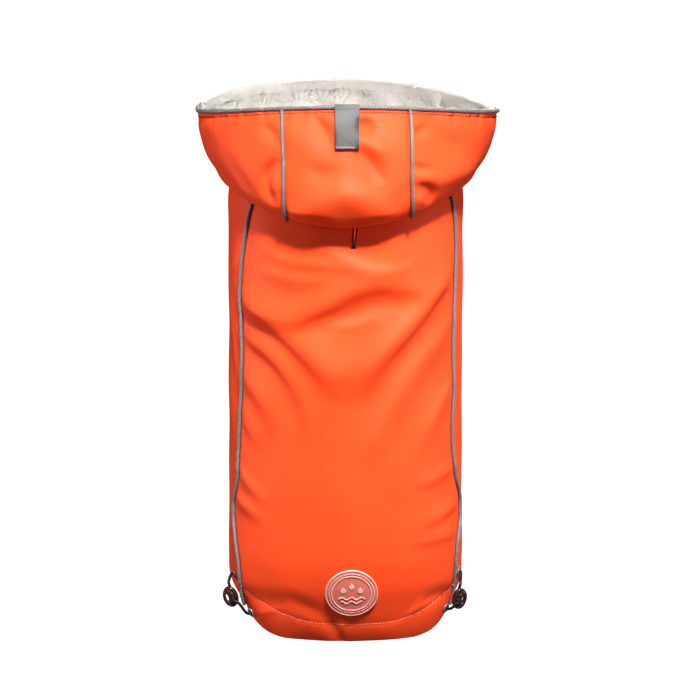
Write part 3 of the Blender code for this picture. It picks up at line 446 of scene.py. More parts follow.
def grid(columns, rows):  # points (across, drop) and their four-sided faces
    across, drop = np.meshgrid(columns, rows)
    width = len(columns)
    corner = (np.arange(len(rows) - 1)[:, None] * width + np.arange(width - 1)[None, :]).ravel()
    faces = np.stack((corner, corner + 1, corner + width + 1, corner + width), axis=1)
    return np.stack((across.ravel(), drop.ravel()), axis=1), faces


def holedGrid(columns, rows, middle, half, margin, rings):  # a grid with an oval opening
    points, faces = grid(columns, rows)
    width = len(columns)
    lines = (columns, rows)
    first = [int(np.searchsorted(line, middle[k] - half[k] * margin) - 1) for k, line in enumerate(lines)]
    last = [int(np.searchsorted(line, middle[k] + half[k] * margin)) for k, line in enumerate(lines)]
    row, col = faces[:, 0] // width, faces[:, 0] % width
    inside = (row >= first[1]) & (row < last[1]) & (col >= first[0]) & (col < last[0])
    faces = faces[~inside].tolist()
    loop = [(first[1], c) for c in range(first[0], last[0])] + [(r, last[0]) for r in range(first[1], last[1])]
    loop += [(last[1], c) for c in range(last[0], first[0], -1)]
    loop += [(r, first[0]) for r in range(last[1], first[1], -1)]
    block = [(line[last[k]] - line[first[k]]) / 2 for k, line in enumerate(lines)]
    centre = [(line[last[k]] + line[first[k]]) / 2 for k, line in enumerate(lines)]
    points = points.tolist()
    outer = [r * width + c for r, c in loop]
    count = len(loop)
    for ring in range(1, rings + 1):
        inner = []
        for r, c in loop:
            angle = math.atan2((rows[r] - centre[1]) / block[1], (columns[c] - centre[0]) / block[0])
            goal = (middle[0] + half[0] * math.cos(angle), middle[1] + half[1] * math.sin(angle))
            share = ring / rings
            inner.append(len(points))
            points.append((columns[c] + (goal[0] - columns[c]) * share, rows[r] + (goal[1] - rows[r]) * share))
        faces += [(outer[k], outer[(k + 1) % count], inner[(k + 1) % count], inner[k]) for k in range(count)]
        outer = inner
    used, place = np.unique(np.array(faces), return_inverse=True)
    return np.array(points)[used], place.reshape(-1, 4)


def spacing(length, step, edge=(0.5, 1.1, 1.9, 3.0)):  # shares of a length, closer together at both ends
    inner = np.linspace(edge[-1], length - edge[-1], max(2, round((length - 2 * edge[-1]) / step) + 1))
    ends = np.array((0.0,) + edge[:-1])
    return np.concatenate((ends, inner, length - ends[::-1])) / length


def ringFaces(index):  # four-sided faces between each ring of corners and the next
    near, far = index[..., :-1, :], index[..., 1:, :]
    return np.stack((near, np.roll(near, -1, -1), np.roll(far, -1, -1), far), axis=-1).reshape(-1, 4)


def vertexNormals(points, faces):
    facing = np.cross(points[faces[:, 2]] - points[faces[:, 0]], points[faces[:, 3]] - points[faces[:, 1]])
    total = np.zeros_like(points)
    for corner in range(4):
        np.add.at(total, faces[:, corner], facing)
    return unit(total)


def addPiece(name, verts, faces, material, slot, nodes=(), flatUv=None, masks=None):
    mesh = bpy.data.meshes.new(name)
    mesh.from_pydata((np.asarray(verts) * mm).tolist(), [], [tuple(map(int, face)) for face in faces])
    mesh.shade_smooth()
    if flatUv is not None:
        corners = np.zeros(len(mesh.loops), np.int32)
        mesh.loops.foreach_get("vertex_index", corners)
        layer = mesh.uv_layers.new(name="clothMap")
        layer.data.foreach_set("uv", np.asarray(flatUv, np.float32)[corners].ravel())
    for label, values in (masks or {}).items():
        attribute = mesh.attributes.new(label, "FLOAT", "POINT")
        attribute.data.foreach_set("value", np.asarray(values, np.float32))
    mesh.materials.append(material)
    piece = linkNew(name, mesh)
    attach(piece, "root")
    if nodes:
        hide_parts(*nodes)
    return piece


def shell(outer, faces, wall, normals=None):  # a thin wall with a rounded edge: points, faces and edge points
    normals = vertexNormals(outer, faces) if normals is None else normals
    inner = outer - normals * wall
    starts = faces.ravel()
    ends = np.roll(faces, -1, axis=1).ravel()
    count = len(outer)
    forward, backward = starts.astype(np.int64) * count + ends, ends.astype(np.int64) * count + starts
    rim = ~np.isin(forward, backward)
    starts, ends = starts[rim], ends[rim]
    run = np.zeros_like(outer)
    np.add.at(run, starts, outer[ends] - outer[starts])
    np.add.at(run, ends, outer[ends] - outer[starts])
    onRim = np.unique(np.concatenate((starts, ends)))
    beyond = unit(np.cross(run[onRim], normals[onRim]))
    middle = (outer[onRim] + inner[onRim]) / 2 + beyond * wall * 0.35
    place = np.zeros(count, int)
    place[onRim] = 2 * count + np.arange(len(onRim))
    outerEdge = np.stack((ends, starts, place[starts], place[ends]), axis=1)
    innerEdge = np.stack((place[ends], place[starts], count + starts, count + ends), axis=1)
    allFaces = np.concatenate((faces, count + faces[:, ::-1], outerEdge, innerEdge))
    return np.concatenate((outer, inner, middle)), allFaces, onRim


def clothPiece(name, plan, surface, size, wall, node):
    points, faces = plan
    outer = surface(points[:, 0], points[:, 1])
    verts, allFaces, onRim = shell(outer, faces[:, ::-1], wall)
    flat = points * np.array(size) * mm
    flat = np.concatenate((flat, flat, flat[onRim]))
    return addPiece(name, verts, allFaces, clothMaterial, "face_cloth", [node], flat)


def frames(path, facing, closed):  # unit directions across and off a line on a surface
    run = np.roll(path, -1, axis=0) - np.roll(path, 1, axis=0) if closed else np.gradient(path, axis=0)
    run = unit(run)
    across = unit(np.cross(facing, run))
    return across, np.cross(run, across)


def tubeMesh(path, facing, radius, sides, closed, shape):  # shape: radius share at (turn, length)
    across, off = frames(path, facing, closed)
    turn = 2 * math.pi * np.arange(sides) / sides
    along = lengthAlong(path)
    size = radius * shape(turn[None, :], along[:, None])
    spoke = across[:, None, :] * np.cos(turn)[None, :, None] + off[:, None, :] * np.sin(turn)[None, :, None]
    verts = (path[:, None, :] + spoke * size[..., None]).reshape(-1, 3)
    rings = len(path)
    index = np.arange(rings * sides).reshape(rings, sides)
    if closed:
        index = np.concatenate((index, index[:1]))
    faces = ringFaces(index).tolist()
    uv = np.broadcast_arrays(along[:, None] * mm, turn[None, :] * radius * mm)
    uv = np.stack(uv, axis=-1).reshape(-1, 2)
    if not closed:
        verts = np.concatenate((verts, path[:1], path[-1:]))
        uv = np.concatenate((uv, uv[:1], uv[-1:]))
        first, last = len(verts) - 2, len(verts) - 1
        faces += [(first, (k + 1) % sides, k) for k in range(sides)]
        tail = (rings - 1) * sides
        faces += [(last, tail + k, tail + (k + 1) % sides) for k in range(sides)]
    return verts, faces, uv


def threadMesh(starts, ends, facing, radius, sides=6):  # one short bowed thread for each start and end
    starts, ends, facing = (np.asarray(value, float) for value in (starts, ends, facing))
    run = ends - starts
    across = unit(np.cross(facing, run))
    stages = ((0.0, 0.45, -0.7), (0.14, 0.9, 0.25), (0.5, 1.0, 0.5), (0.86, 0.9, 0.25), (1.0, 0.45, -0.7))
    turn = 2 * math.pi * np.arange(sides) / sides
    spoke = across[:, None, :] * np.cos(turn)[None, :, None] + facing[:, None, :] * np.sin(turn)[None, :, None]
    verts = []
    for share, size, lift in stages:
        middle = starts + run * share + facing * (lift * radius)
        verts.append(middle[:, None, :] + spoke * radius * size)
    verts = np.stack(verts, axis=1)
    count = len(starts)
    index = np.arange(count * len(stages) * sides).reshape(count, len(stages), sides)
    faces = ringFaces(index).tolist() + index[:, 0, ::-1].tolist() + index[:, -1].tolist()
    return verts.reshape(-1, 3), faces


def joinMeshes(*parts):
    verts, faces, base = [], [], 0
    for points, polygons in parts:
        verts.append(points)
        faces += [[base + corner for corner in face] for face in polygons]
        base += len(points)
    return np.concatenate(verts), faces


def sewLine(path, facing, radius):  # a thread for each stitch along a line
    along = lengthAlong(path)
    count = int(along[-1] // stitch["pitch"])
    at = (np.arange(count) + 0.5) * along[-1] / count
    half = stitch["length"] / 2
    return threadMesh(pointsAt(at - half, along, path), pointsAt(at + half, along, path),
                      pointsAt(at, along, facing), radius)


def surfaceSlopes(surface, across, drop, step=1e-3):  # points of a surface, and its runs across and down there
    over = surface(across + step, drop) - surface(across - step, drop)
    fall = surface(across, np.minimum(drop + step, 1)) - surface(across, np.maximum(drop - step, 0))
    return surface(across, drop), over, fall


def surfaceLine(surface, across, drop):  # points and unit facings along a line on a surface
    path, over, fall = surfaceSlopes(surface, across, drop)
    return path, unit(np.cross(fall, over))


# Shared effects for the materials


def newGroup(name, inputs, outputs):
    group = bpy.data.node_groups.new(name, "ShaderNodeTree")
    for label, value in inputs.items():
        socket = group.interface.new_socket(label, in_out="INPUT", socket_type="NodeSocketFloat")
        socket.default_value = value
    for label in outputs:
        group.interface.new_socket(label, in_out="OUTPUT", socket_type="NodeSocketFloat")
    return group, group.nodes.new("NodeGroupInput").outputs, group.nodes.new("NodeGroupOutput").inputs


def plug(tree, value, socket):  # a link, or a fixed value
    if isinstance(value, bpy.types.NodeSocket):
        tree.links.new(value, socket)
    else:
        socket.default_value = value


def mathNode(tree, operation, first, second=None, third=None):
    node = tree.nodes.new("ShaderNodeMath")
    node.operation = operation
    for slot, value in enumerate((first, second, third)):
        if value is not None:
            plug(tree, value, node.inputs[slot])
    return node.outputs[0]


def noiseNode(tree, vector, scale, detail, roughness):
    node = tree.nodes.new("ShaderNodeTexNoise")
    for label, value in (("Vector", vector), ("Scale", scale), ("Detail", detail), ("Roughness", roughness)):
        plug(tree, value, node.inputs[label])
    return node.outputs["Fac"]


def objectPlace(tree):
    return tree.nodes.new("ShaderNodeTexCoord").outputs["Object"]


def makeGrain():  # fine and coarse unevenness of a surface, per metre of the object
    group, inside, outside = newGroup("surfaceGrain", {"Fine": 1500.0, "Coarse": 30.0}, ("Height", "Shade"))
    place = objectPlace(group)
    plug(group, noiseNode(group, place, inside["Fine"], 4.0, 0.6), outside["Height"])
    plug(group, noiseNode(group, place, inside["Coarse"], 5.0, 0.55), outside["Shade"])
    return group


def makeWeave():  # threads over and under, per metre of the cloth's own map
    sizes = {"Across": 900.0, "Along": 900.0, "Slant": 0.0}
    group, inside, outside = newGroup("threadWeave", sizes, ("Height", "Threads"))
    place = group.nodes.new("ShaderNodeUVMap")
    place.uv_map = "clothMap"
    split = group.nodes.new("ShaderNodeSeparateXYZ")
    group.links.new(place.outputs["UV"], split.inputs["Vector"])
    u = mathNode(group, "MULTIPLY", split.outputs["X"], inside["Across"])
    v = mathNode(group, "MULTIPLY", split.outputs["Y"], inside["Along"])
    slanted = mathNode(group, "MULTIPLY_ADD", v, inside["Slant"], u)
    over = mathNode(group, "SINE", mathNode(group, "MULTIPLY", slanted, 2 * math.pi))
    under = mathNode(group, "SINE", mathNode(group, "MULTIPLY", v, 2 * math.pi))
    both = mathNode(group, "MULTIPLY", over, under)
    plug(group, mathNode(group, "MULTIPLY_ADD", both, 0.5, 0.5), outside["Height"])
    plug(group, mathNode(group, "MULTIPLY_ADD", over, 0.5, 0.5), outside["Threads"])
    return group


def makeHandling():  # faint marks of use: scuffs and dust, as a mask
    group, inside, outside = newGroup("handlingMarks", {"Size": 14.0, "Amount": 0.3}, ("Marks",))
    place = objectPlace(group)
    wide = noiseNode(group, place, inside["Size"], 6.0, 0.65)
    close = noiseNode(group, place, 420.0, 3.0, 0.6)
    edge = mathNode(group, "SUBTRACT", wide, 0.52)
    mask = mathNode(group, "MULTIPLY", mathNode(group, "MAXIMUM", edge, 0.0), close)
    mask = mathNode(group, "MULTIPLY", mathNode(group, "MULTIPLY", mask, 6.0), inside["Amount"])
    plug(group, mathNode(group, "MINIMUM", mask, 1.0), outside["Marks"])
    return group


grainGroup = makeGrain()
weaveGroup = makeWeave()
handlingGroup = makeHandling()


def newMaterial(name):
    material = bpy.data.materials.new(name)
    material.use_nodes = True
    return material, material.node_tree


def useGroup(tree, group, **values):
    node = tree.nodes.new("ShaderNodeGroup")
    node.node_tree = group
    for label, value in values.items():
        node.inputs[label].default_value = value
    return node.outputs


def maskNode(tree, name):  # a value kept at each point of the mesh
    node = tree.nodes.new("ShaderNodeAttribute")
    node.attribute_name = name
    return node.outputs["Fac"]


def mixColours(tree, share, first, second):
    node = tree.nodes.new("ShaderNodeMix")
    node.data_type = "RGBA"
    plug(tree, share, node.inputs[0])
    for socket, value in zip([socket for socket in node.inputs if socket.type == "RGBA"], (first, second)):
        plug(tree, value + (1,) if isinstance(value, tuple) else value, socket)
    return [socket for socket in node.outputs if socket.type == "RGBA"][0]


def mapRange(tree, value, low, high, newLow=0.0, newHigh=1.0):
    node = tree.nodes.new("ShaderNodeMapRange")
    numbers = {"Value": value, "From Min": low, "From Max": high, "To Min": newLow, "To Max": newHigh}
    for label, number in numbers.items():
        plug(tree, number, node.inputs[label])
    return node.outputs["Result"]


def finish(material, base, shade, height, look):  # colour, roughness and relief, and the look's fixed values
    tree = material.node_tree
    shader = tree.nodes["Principled BSDF"]
    plug(tree, base, shader.inputs["Base Color"])
    plug(tree, mapRange(tree, shade, 0.3, 0.7, *look["rough"]), shader.inputs["Roughness"])
    for label, value in look["fixed"].items():
        shader.inputs[label].default_value = value
    node = tree.nodes.new("ShaderNodeBump")
    for label, value in zip(("Strength", "Distance", "Height"), (*look["relief"], height)):
        plug(tree, value, node.inputs[label])
    plug(tree, node.outputs["Normal"], shader.inputs["Normal"])
    return material


rainCloth = {"colour": (0.90, 0.096, 0.023), "shade": (0.87, 0.085, 0.019), "dusty": (0.86, 0.13, 0.045),
             "rough": (0.52, 0.62), "relief": (0.25, 0.0002),
             "fixed": {"Sheen Weight": 0.03, "Sheen Roughness": 0.45, "Sheen Tint": (1.0, 0.62, 0.48, 1),
                       "Specular IOR Level": 0.22}}


def makeRainCloth():
    material, tree = newMaterial("rainCloth")
    grain = useGroup(tree, grainGroup, Fine=2600.0, Coarse=22.0)
    weave = useGroup(tree, weaveGroup, Across=1150.0, Along=1150.0)
    marks = useGroup(tree, handlingGroup, Size=16.0, Amount=0.10)
    tone = mapRange(tree, grain["Shade"], 0.35, 0.65)
    base = mixColours(tree, tone, rainCloth["shade"], rainCloth["colour"])
    base = mixColours(tree, marks["Marks"], base, rainCloth["dusty"])
    height = mathNode(tree, "MULTIPLY_ADD", weave["Height"], 0.35, grain["Height"])
    return finish(material, base, grain["Height"], height, rainCloth)


fleece = {"colour": (0.88, 0.885, 0.84), "root": (0.76, 0.765, 0.72), "strand": (0.72, 0.69, 0.62),
          "stain": (0.80, 0.76, 0.66), "rough": (0.85, 1.0), "relief": (0.6, 0.0008),
          "fixed": {"Sheen Weight": 0.35, "Specular IOR Level": 0.15}}


def makeFleece(name, tip):
    material, tree = newMaterial(name)
    grain = useGroup(tree, grainGroup, Fine=900.0, Coarse=60.0)
    marks = useGroup(tree, handlingGroup, Size=45.0, Amount=0.5)
    # on the lining wall the darker root colour, mixed with the fleece colour by noise, is painted shade among
    # the fibres' roots; the tips keep the plain colour
    root = fleece["colour"] if tip else fleece["root"]
    base = mixColours(tree, mapRange(tree, grain["Height"], 0.3, 0.7), root, fleece["colour"])
    base = mixColours(tree, marks["Marks"], base, fleece["stain"])
    if tip:
        base = mixColours(tree, maskNode(tree, "strand"), base, fleece["strand"])
    return finish(material, base, grain["Shade"], grain["Height"], fleece)


reflectiveTape = {"colour": (0.25, 0.24, 0.23), "valleyShade": (0.045, 0.043, 0.042), "rough": (0.36, 0.5),
                  "relief": (0.3, 0.0002), "fixed": {"Specular IOR Level": 0.55}}


def makePipingTape():
    material, tree = newMaterial("reflectiveTape")
    grain = useGroup(tree, grainGroup, Fine=3200.0, Coarse=120.0)
    # the valley colour, blended in where the rib mask is low, is painted shade in the grooves between the ribs
    tone = mapRange(tree, maskNode(tree, "rib"), 0.15, 0.8)
    base = mixColours(tree, tone, reflectiveTape["valleyShade"], reflectiveTape["colour"])
    return finish(material, base, grain["Shade"], grain["Height"], reflectiveTape)


satin = {"colour": (0.12, 0.116, 0.113), "weft": (0.07, 0.067, 0.065), "foot": (0.045, 0.041, 0.04),
         "rough": (0.32, 0.44), "relief": (0.35, 0.0002), "fixed": {"Anisotropic": 0.5, "Sheen Weight": 0.08}}


def makeSatin():
    material, tree = newMaterial("labelSatin")
    weave = useGroup(tree, weaveGroup, Across=1500.0, Along=2200.0, Slant=0.5)
    grain = useGroup(tree, grainGroup, Fine=1800.0, Coarse=80.0)
    base = mixColours(tree, weave["Threads"], satin["weft"], satin["colour"])
    # the foot colour, blended in along the drop mask, is painted shade: darker toward the tab's foot, where it
    # turns down
    base = mixColours(tree, mapRange(tree, maskNode(tree, "drop"), 0.2, 1.0, 0.0, 0.85), base, satin["foot"])
    return finish(material, base, grain["Shade"], weave["Height"], satin)


rubber = {"ground": (0.74, 0.20, 0.15), "raised": (0.74, 0.50, 0.47), "scuffed": (0.72, 0.42, 0.36),
          "rough": (0.38, 0.5), "relief": (0.2, 0.0002),
          "fixed": {"Subsurface Weight": 0.08, "Subsurface Radius": (0.002, 0.0008, 0.0006)}}


def makeRubber():
    material, tree = newMaterial("badgeRubber")
    grain = useGroup(tree, grainGroup, Fine=2200.0, Coarse=160.0)
    marks = useGroup(tree, handlingGroup, Size=120.0, Amount=0.35)
    tone = mapRange(tree, maskNode(tree, "raised"), 0.35, 0.75)
    base = mixColours(tree, tone, rubber["ground"], rubber["raised"])
    base = mixColours(tree, marks["Marks"], base, rubber["scuffed"])
    return finish(material, base, grain["Shade"], grain["Height"], rubber)


threads = {  # colour, and a darker colour: painted shade of the gaps between the strands
    "redThread": ((0.22, 0.006, 0.007), (0.10, 0.004, 0.005)),
    "paleThread": ((0.88, 0.36, 0.28), (0.60, 0.10, 0.07)),
    "whiteThread": ((0.82, 0.80, 0.78), (0.55, 0.53, 0.52)),
    "darkThread": ((0.06, 0.008, 0.008), (0.02, 0.004, 0.004)),
}
threadLook = {"rough": (0.5, 0.7), "relief": (0.5, 0.0002), "fixed": {}}


def makeThread(name):
    colour, dark = threads[name]
    material, tree = newMaterial(name)
    grain = useGroup(tree, grainGroup, Fine=5200.0, Coarse=700.0)
    # the darker colour, scattered by noise, is painted shade of the gaps between the strands
    base = mixColours(tree, mapRange(tree, grain["Height"], 0.35, 0.65), dark, colour)
    return finish(material, base, grain["Shade"], grain["Height"], threadLook)


hardware = {
    "eyeletMetal": {"colour": (0.30, 0.30, 0.31), "worn": (0.42, 0.42, 0.42), "rough": (0.26, 0.4),
                    "relief": (0.12, 0.0001),
                    "fixed": {"Metallic": 0.6, "Coat Weight": 0.0, "Coat Roughness": 0.12}},
    "smokePlastic": {"colour": (0.035, 0.012, 0.009), "worn": (0.10, 0.05, 0.04), "rough": (0.12, 0.22),
                     "relief": (0.12, 0.0001),
                     "fixed": {"Metallic": 0.0, "Coat Weight": 0.6, "Coat Roughness": 0.12}},
}


def makeHard(name):
    look = hardware[name]
    material, tree = newMaterial(name)
    grain = useGroup(tree, grainGroup, Fine=2500.0, Coarse=240.0)
    marks = useGroup(tree, handlingGroup, Size=150.0, Amount=0.8)
    base = mixColours(tree, marks["Marks"], look["colour"], look["worn"])
    return finish(material, base, grain["Shade"], grain["Height"], look)


elastic = {"colour": (0.02, 0.02, 0.025), "valleyShade": (0.004, 0.004, 0.005), "rough": (0.32, 0.5),
           "relief": (0.5, 0.0003), "fixed": {"Specular IOR Level": 0.4}}


def makeElastic():
    material, tree = newMaterial("braidedElastic")
    weave = useGroup(tree, weaveGroup, Across=700.0, Along=700.0, Slant=1.0)
    grain = useGroup(tree, grainGroup, Fine=3000.0, Coarse=300.0)
    # the valley colour, blended in where the weave is low, is painted shade between the braid's strands
    base = mixColours(tree, weave["Height"], elastic["valleyShade"], elastic["colour"])
    return finish(material, base, grain["Shade"], weave["Height"], elastic)


clothMaterial = makeRainCloth()
fleeceMaterial = makeFleece("fleeceGround", False)
pileMaterial = makeFleece("fleecePile", True)
pipingMaterial = makePipingTape()
satinMaterial = makeSatin()
rubberMaterial = makeRubber()
redThread, paleThread, whiteThread, darkThread = [makeThread(name) for name in threads]
eyeletMaterial, lockMaterial = [makeHard(name) for name in hardware]
elasticMaterial = makeElastic()
print("materials made")


# Body panels
backCut = {"size": (246, 500), "flat": (0.26, 0.50), "area": 0.125}
sideCut = {"size": (262, 452), "flat": (0.27, 0.47), "area": 0.092}
seamGap = {"width": 0.3, "neckRadius": 74}
halfGap = math.degrees(seamGap["width"] / 2 / seamGap["neckRadius"])
seamGuess = {"left": -65.0, "right": 70.0}
legHole = {"fromBelly": 48.0, "height": -130.0, "halfAcross": 38.0, "halfTall": 47.0, "hem": 8.0, "puff": 0.9,
           "groove": 0.6, "grooveWidth": 1.3}
leashSlit = {"around": 4.6, "height": -72.0, "halfAcross": 0.7, "halfTall": 14.0}


def seam(name, gap=0.0):  # a back seam, or the edge of a panel beside it
    return lambda down: seamAround(name, down) + gap


def bodyPanel(first, last, firstGuess, lastGuess, extra=None):  # across 0 to 1, drop 0 to 1 from neck to hem
    def surface(across, drop):
        around = firstGuess + (lastGuess - firstGuess) * across
        for _ in range(5):
            down = drop * lineDown(hemLine, around)
            start, end = first(down), last(down)
            around = start + (end - start) * across
        off = 0.0 if extra is None else extra(across, drop)
        return bodyPoint(around, drop * lineDown(hemLine, around), off)

    return surface


backSurface = bodyPanel(seam("left", halfGap), seam("right", -halfGap), *seamGuess.values())


def slitPlace():  # middle and half size of the leash slit on the back panel
    down = float(downAt(leashSlit["height"]))
    hem = float(lineDown(hemLine, leashSlit["around"]))
    start, end = [float(seamAround(name, down)) for name in ("left", "right")]
    span = math.radians(end - start) * float(bodyRing("back", down))
    middle = ((leashSlit["around"] - start) / (end - start), down / hem)
    return middle, (leashSlit["halfAcross"] / span, leashSlit["halfTall"] / hem), span, hem


def makeBackPanel():
    middle, half, _, _ = slitPlace()
    columns, rows = [spacing(length, bodyLook["sheetStep"]) for length in backCut["size"]]
    plan = holedGrid(columns, rows, middle, half, 1.05, 3)
    piece = clothPiece("backPanel", plan, backSurface, backCut["size"], bodyLook["wall"], "back_panel")


def legPlace(first, last, legAround):
    down = float(downAt(legHole["height"]))
    start, end = float(first(down)), float(last(down))
    hem = float(lineDown(hemLine, legAround))
    span = math.radians(end - start) * bodyShape["roll"]
    middle = ((legAround - start) / (end - start), down / hem)
    return middle, (legHole["halfAcross"] / span, legHole["halfTall"] / hem)


sideEdges = {  # edges from left to right, guesses of where they are, and the middle of the leg hole
    "left": (lambda down: bellySeam - 360 + halfGap + 0 * down, seam("left", -halfGap),
             bellySeam - 360, seamGuess["left"], bellySeam - 360 + legHole["fromBelly"]),
    "right": (seam("right", halfGap), lambda down: bellySeam - halfGap + 0 * down,
              seamGuess["right"], bellySeam, bellySeam - legHole["fromBelly"]),
}
legStitches = []


def makeSidePanels():
    for side, (first, last, firstGuess, lastGuess, legAround) in sideEdges.items():
        middle, half = legPlace(first, last, legAround)
        reach = (legHole["halfAcross"] + legHole["halfTall"]) / 2
        hemShare = legHole["hem"] / reach

        def turnedEdge(across, drop, middle=middle, half=half, reach=reach):
            far = (np.hypot((across - middle[0]) / half[0], (drop - middle[1]) / half[1]) - 1) * reach
            puff = legHole["puff"] * np.sin(np.pi * np.clip(far / legHole["hem"], 0, 1))
            return puff - legHole["groove"] * bell(far - legHole["hem"], legHole["grooveWidth"])

        surface = bodyPanel(first, last, firstGuess, lastGuess, turnedEdge)
        columns, rows = [spacing(length, bodyLook["sheetStep"]) for length in sideCut["size"]]
        plan = holedGrid(columns, rows, middle, half, 1.12, 4)
        piece = clothPiece("sidePanel" + side.capitalize(), plan, surface, sideCut["size"], bodyLook["wall"],
                           "side_panel_" + side)
        turn = np.linspace(0, 2 * math.pi, 400)
        legStitches.append(surfaceLine(surface, middle[0] + half[0] * (1 + hemShare) * np.cos(turn),
                                       middle[1] + half[1] * (1 + hemShare) * np.sin(turn)))


makeBackPanel()
makeSidePanels()
print("body panels made")


# Hood panels
hoodLength = 212
hoodCuts = {  # edges from left to right, width, flat size and area of the piece of cloth
    "centre": (lambda row: hoodSeam("left", row) + halfGap, lambda row: hoodSeam("right", row) - halfGap,
               118, (0.13, 0.22), 0.0262),
    "right": (lambda row: hoodSeam("right", row) + halfGap, lambda row: 180 - halfGap + 0 * row,
              300, (0.33, 0.22), 0.043),
    "left": (lambda row: -180 + halfGap + 0 * row, lambda row: hoodSeam("left", row) - halfGap,
             300, (0.33, 0.22), 0.043),
}


def hoodPanel(first, last):
    def surface(across, drop):
        row = drop * lastRow
        start, end = first(row), last(row)
        return hoodPoint(start + (end - start) * across, row)

    return surface


def makeHoodPanels():
    rows = spacing(hoodLength, hoodLook["sheetStep"], (0.6, 1.3, 2.1, 3.0))
    for part, (first, last, width, flat, area) in hoodCuts.items():
        plan = grid(spacing(width, hoodLook["sheetStep"]), rows)
        piece = clothPiece("hood" + part.capitalize(), plan, hoodPanel(first, last), (width, hoodLength),
                           hoodLook["wall"], "hood_" + part)


makeHoodPanels()
print("hood panels made")


# Fleece lining: a thick soft wall, and a pile of short fibres lying over its face
lining = {"start": 1.8, "wall": 3.0, "stand": 3.9, "standFade": 22, "step": 3.0, "length": 215, "around": 790,
          "swellWidth": 780, "rimShare": 34, "fibres": 26000, "fibreLength": 5.4, "fibreWidth": 0.7,
          "lean": 0.85, "swirl": 30.0}


def wholeHood(across, drop):  # across 0 to 1 right round, from the throat over the left side
    return hoodPoint(-180 + 360 * across, drop * lastRow, dips=False)


def liningFace(across, drop):  # inner points of the lining: the pile's root side, and their facing inwards
    here, over, fall = surfaceSlopes(wholeHood, across, drop)
    rise = unit(-fall)
    lift = np.clip(1 - drop * lining["standFade"], 0, 1)[:, None] * lining["stand"]
    return here + rise * lift, unit(np.cross(fall, over)), rise, unit(over)


def makeLining():
    columns = np.linspace(0, 1, round(lining["around"] / lining["step"]) + 1)[:-1]
    rows = spacing(lining["length"], lining["step"], (0.8, 1.8, 3.0, 4.5))
    points, faces = grid(columns, rows)
    width = len(columns)
    corner = np.arange(len(rows) - 1) * width + width - 1
    faces = np.concatenate((faces, np.stack((corner, corner - width + 1, corner + 1, corner + width), axis=1)))
    here, facing, rise, _ = liningFace(points[:, 0], points[:, 1])
    soft = 0.5 * ripples(points[:, 0] * lining["swellWidth"], points[:, 1] * lining["length"], 26, 6, 31)
    rim = np.clip(1 - points[:, 1] * lining["rimShare"], 0, 1)
    thin = lining["wall"] * (1 - 0.45 * rim ** 2) + soft * (1 - rim)
    outer = here - facing * (lining["start"] + 0.9 * rim ** 2)[:, None]
    inner = here - facing * (lining["start"] + thin)[:, None]
    verts, allFaces, onRim = shell(outer, faces, 0.0, facing)
    verts[len(outer):2 * len(outer)] = inner
    edge = rise[onRim] * np.where(onRim < width, 0.9, -0.3)[:, None]
    verts[2 * len(outer):] = (outer[onRim] + inner[onRim]) / 2 + edge
    piece = addPiece("hoodLining", verts, allFaces, fleeceMaterial, "fleece", ["hood_lining"])


def makePile():
    draw = np.random.default_rng(41)
    count = lining["fibres"]
    across, drop = draw.random(count), draw.random(count) ** 1.25
    root, facing, rise, over = liningFace(across, drop)
    into = -facing
    x, z = across * lining["swellWidth"], drop * lining["length"]
    sway = ripples(x, z, lining["swirl"], 6, 51) * 0.9 + draw.normal(0, 0.35, count)
    heading = -rise * np.cos(sway)[:, None] + over * np.sin(sway)[:, None]
    length = lining["fibreLength"] * draw.uniform(0.6, 1.15, count)[:, None]
    atRim = np.clip(1 - drop * lining["rimShare"], 0, 1)[:, None]
    base = root + into * (lining["start"] + (lining["wall"] - 0.35) * (1 - 0.5 * atRim))
    lean = lining["lean"] + draw.normal(0, 0.12, count)[:, None]
    heading = heading * (1 - 1.6 * atRim)
    first = base + (heading * lean * 0.45 + into * 0.55 + rise * atRim * 0.5) * length * 0.5
    tip = base + (heading * lean + into * 0.42 + rise * atRim * 0.5) * length
    blade = unit(np.cross(into, heading)) * lining["fibreWidth"] / 2
    verts = np.stack((base - blade, base + blade, first - blade * 0.8, first + blade * 0.8, tip), axis=1)
    index = np.arange(count)[:, None] * 5
    faces = (index + np.array((1, 0, 2, 3))).tolist() + (index + np.array((3, 2, 4))).tolist()
    strand = np.clip(draw.random(count) ** 3 * 0.7 + 0.12 * ripples(x, z, 60, 4, 61), 0, 1)
    piece = addPiece("fleecePile", verts.reshape(-1, 3), faces, pileMaterial, "fleece",
                     masks={"strand": np.repeat(strand, 5)})
    soft = into * 0.8 + rise * 0.35 * atRim + over * (0.45 * np.sin(sway))[:, None]
    soft = unit(soft + draw.normal(0, 0.22, (count, 3)))
    piece.data.normals_split_custom_set_from_vertices(np.repeat(soft, 5, axis=0).tolist())


makeLining()
makePile()
print("lining and pile made")


# Piping: a cord under slantwise tape, so that it shows ribs that wind round it
piping = {"radius": 1.9, "rimRadius": 2.3, "ribs": 3, "pitch": 9.6, "depth": 0.2, "step": 0.7, "sides": 16,
          "stand": 0.9, "rimStand": 0.7}


def twist(turn, along):
    wave = 0.5 + 0.5 * np.cos(piping["ribs"] * turn + 2 * math.pi * piping["ribs"] * along / piping["pitch"])
    return 1 - piping["depth"] * (1 - wave ** 0.6)


def evenLine(path, facing, step, closed):
    if closed:
        path, facing = np.concatenate((path, path[:1])), np.concatenate((facing, facing[:1]))
    along = lengthAlong(path)
    at = np.linspace(0, along[-1], int(along[-1] / step) + 1)
    if closed:
        at = at[:-1]
    return pointsAt(at, along, path), pointsAt(at, along, facing)


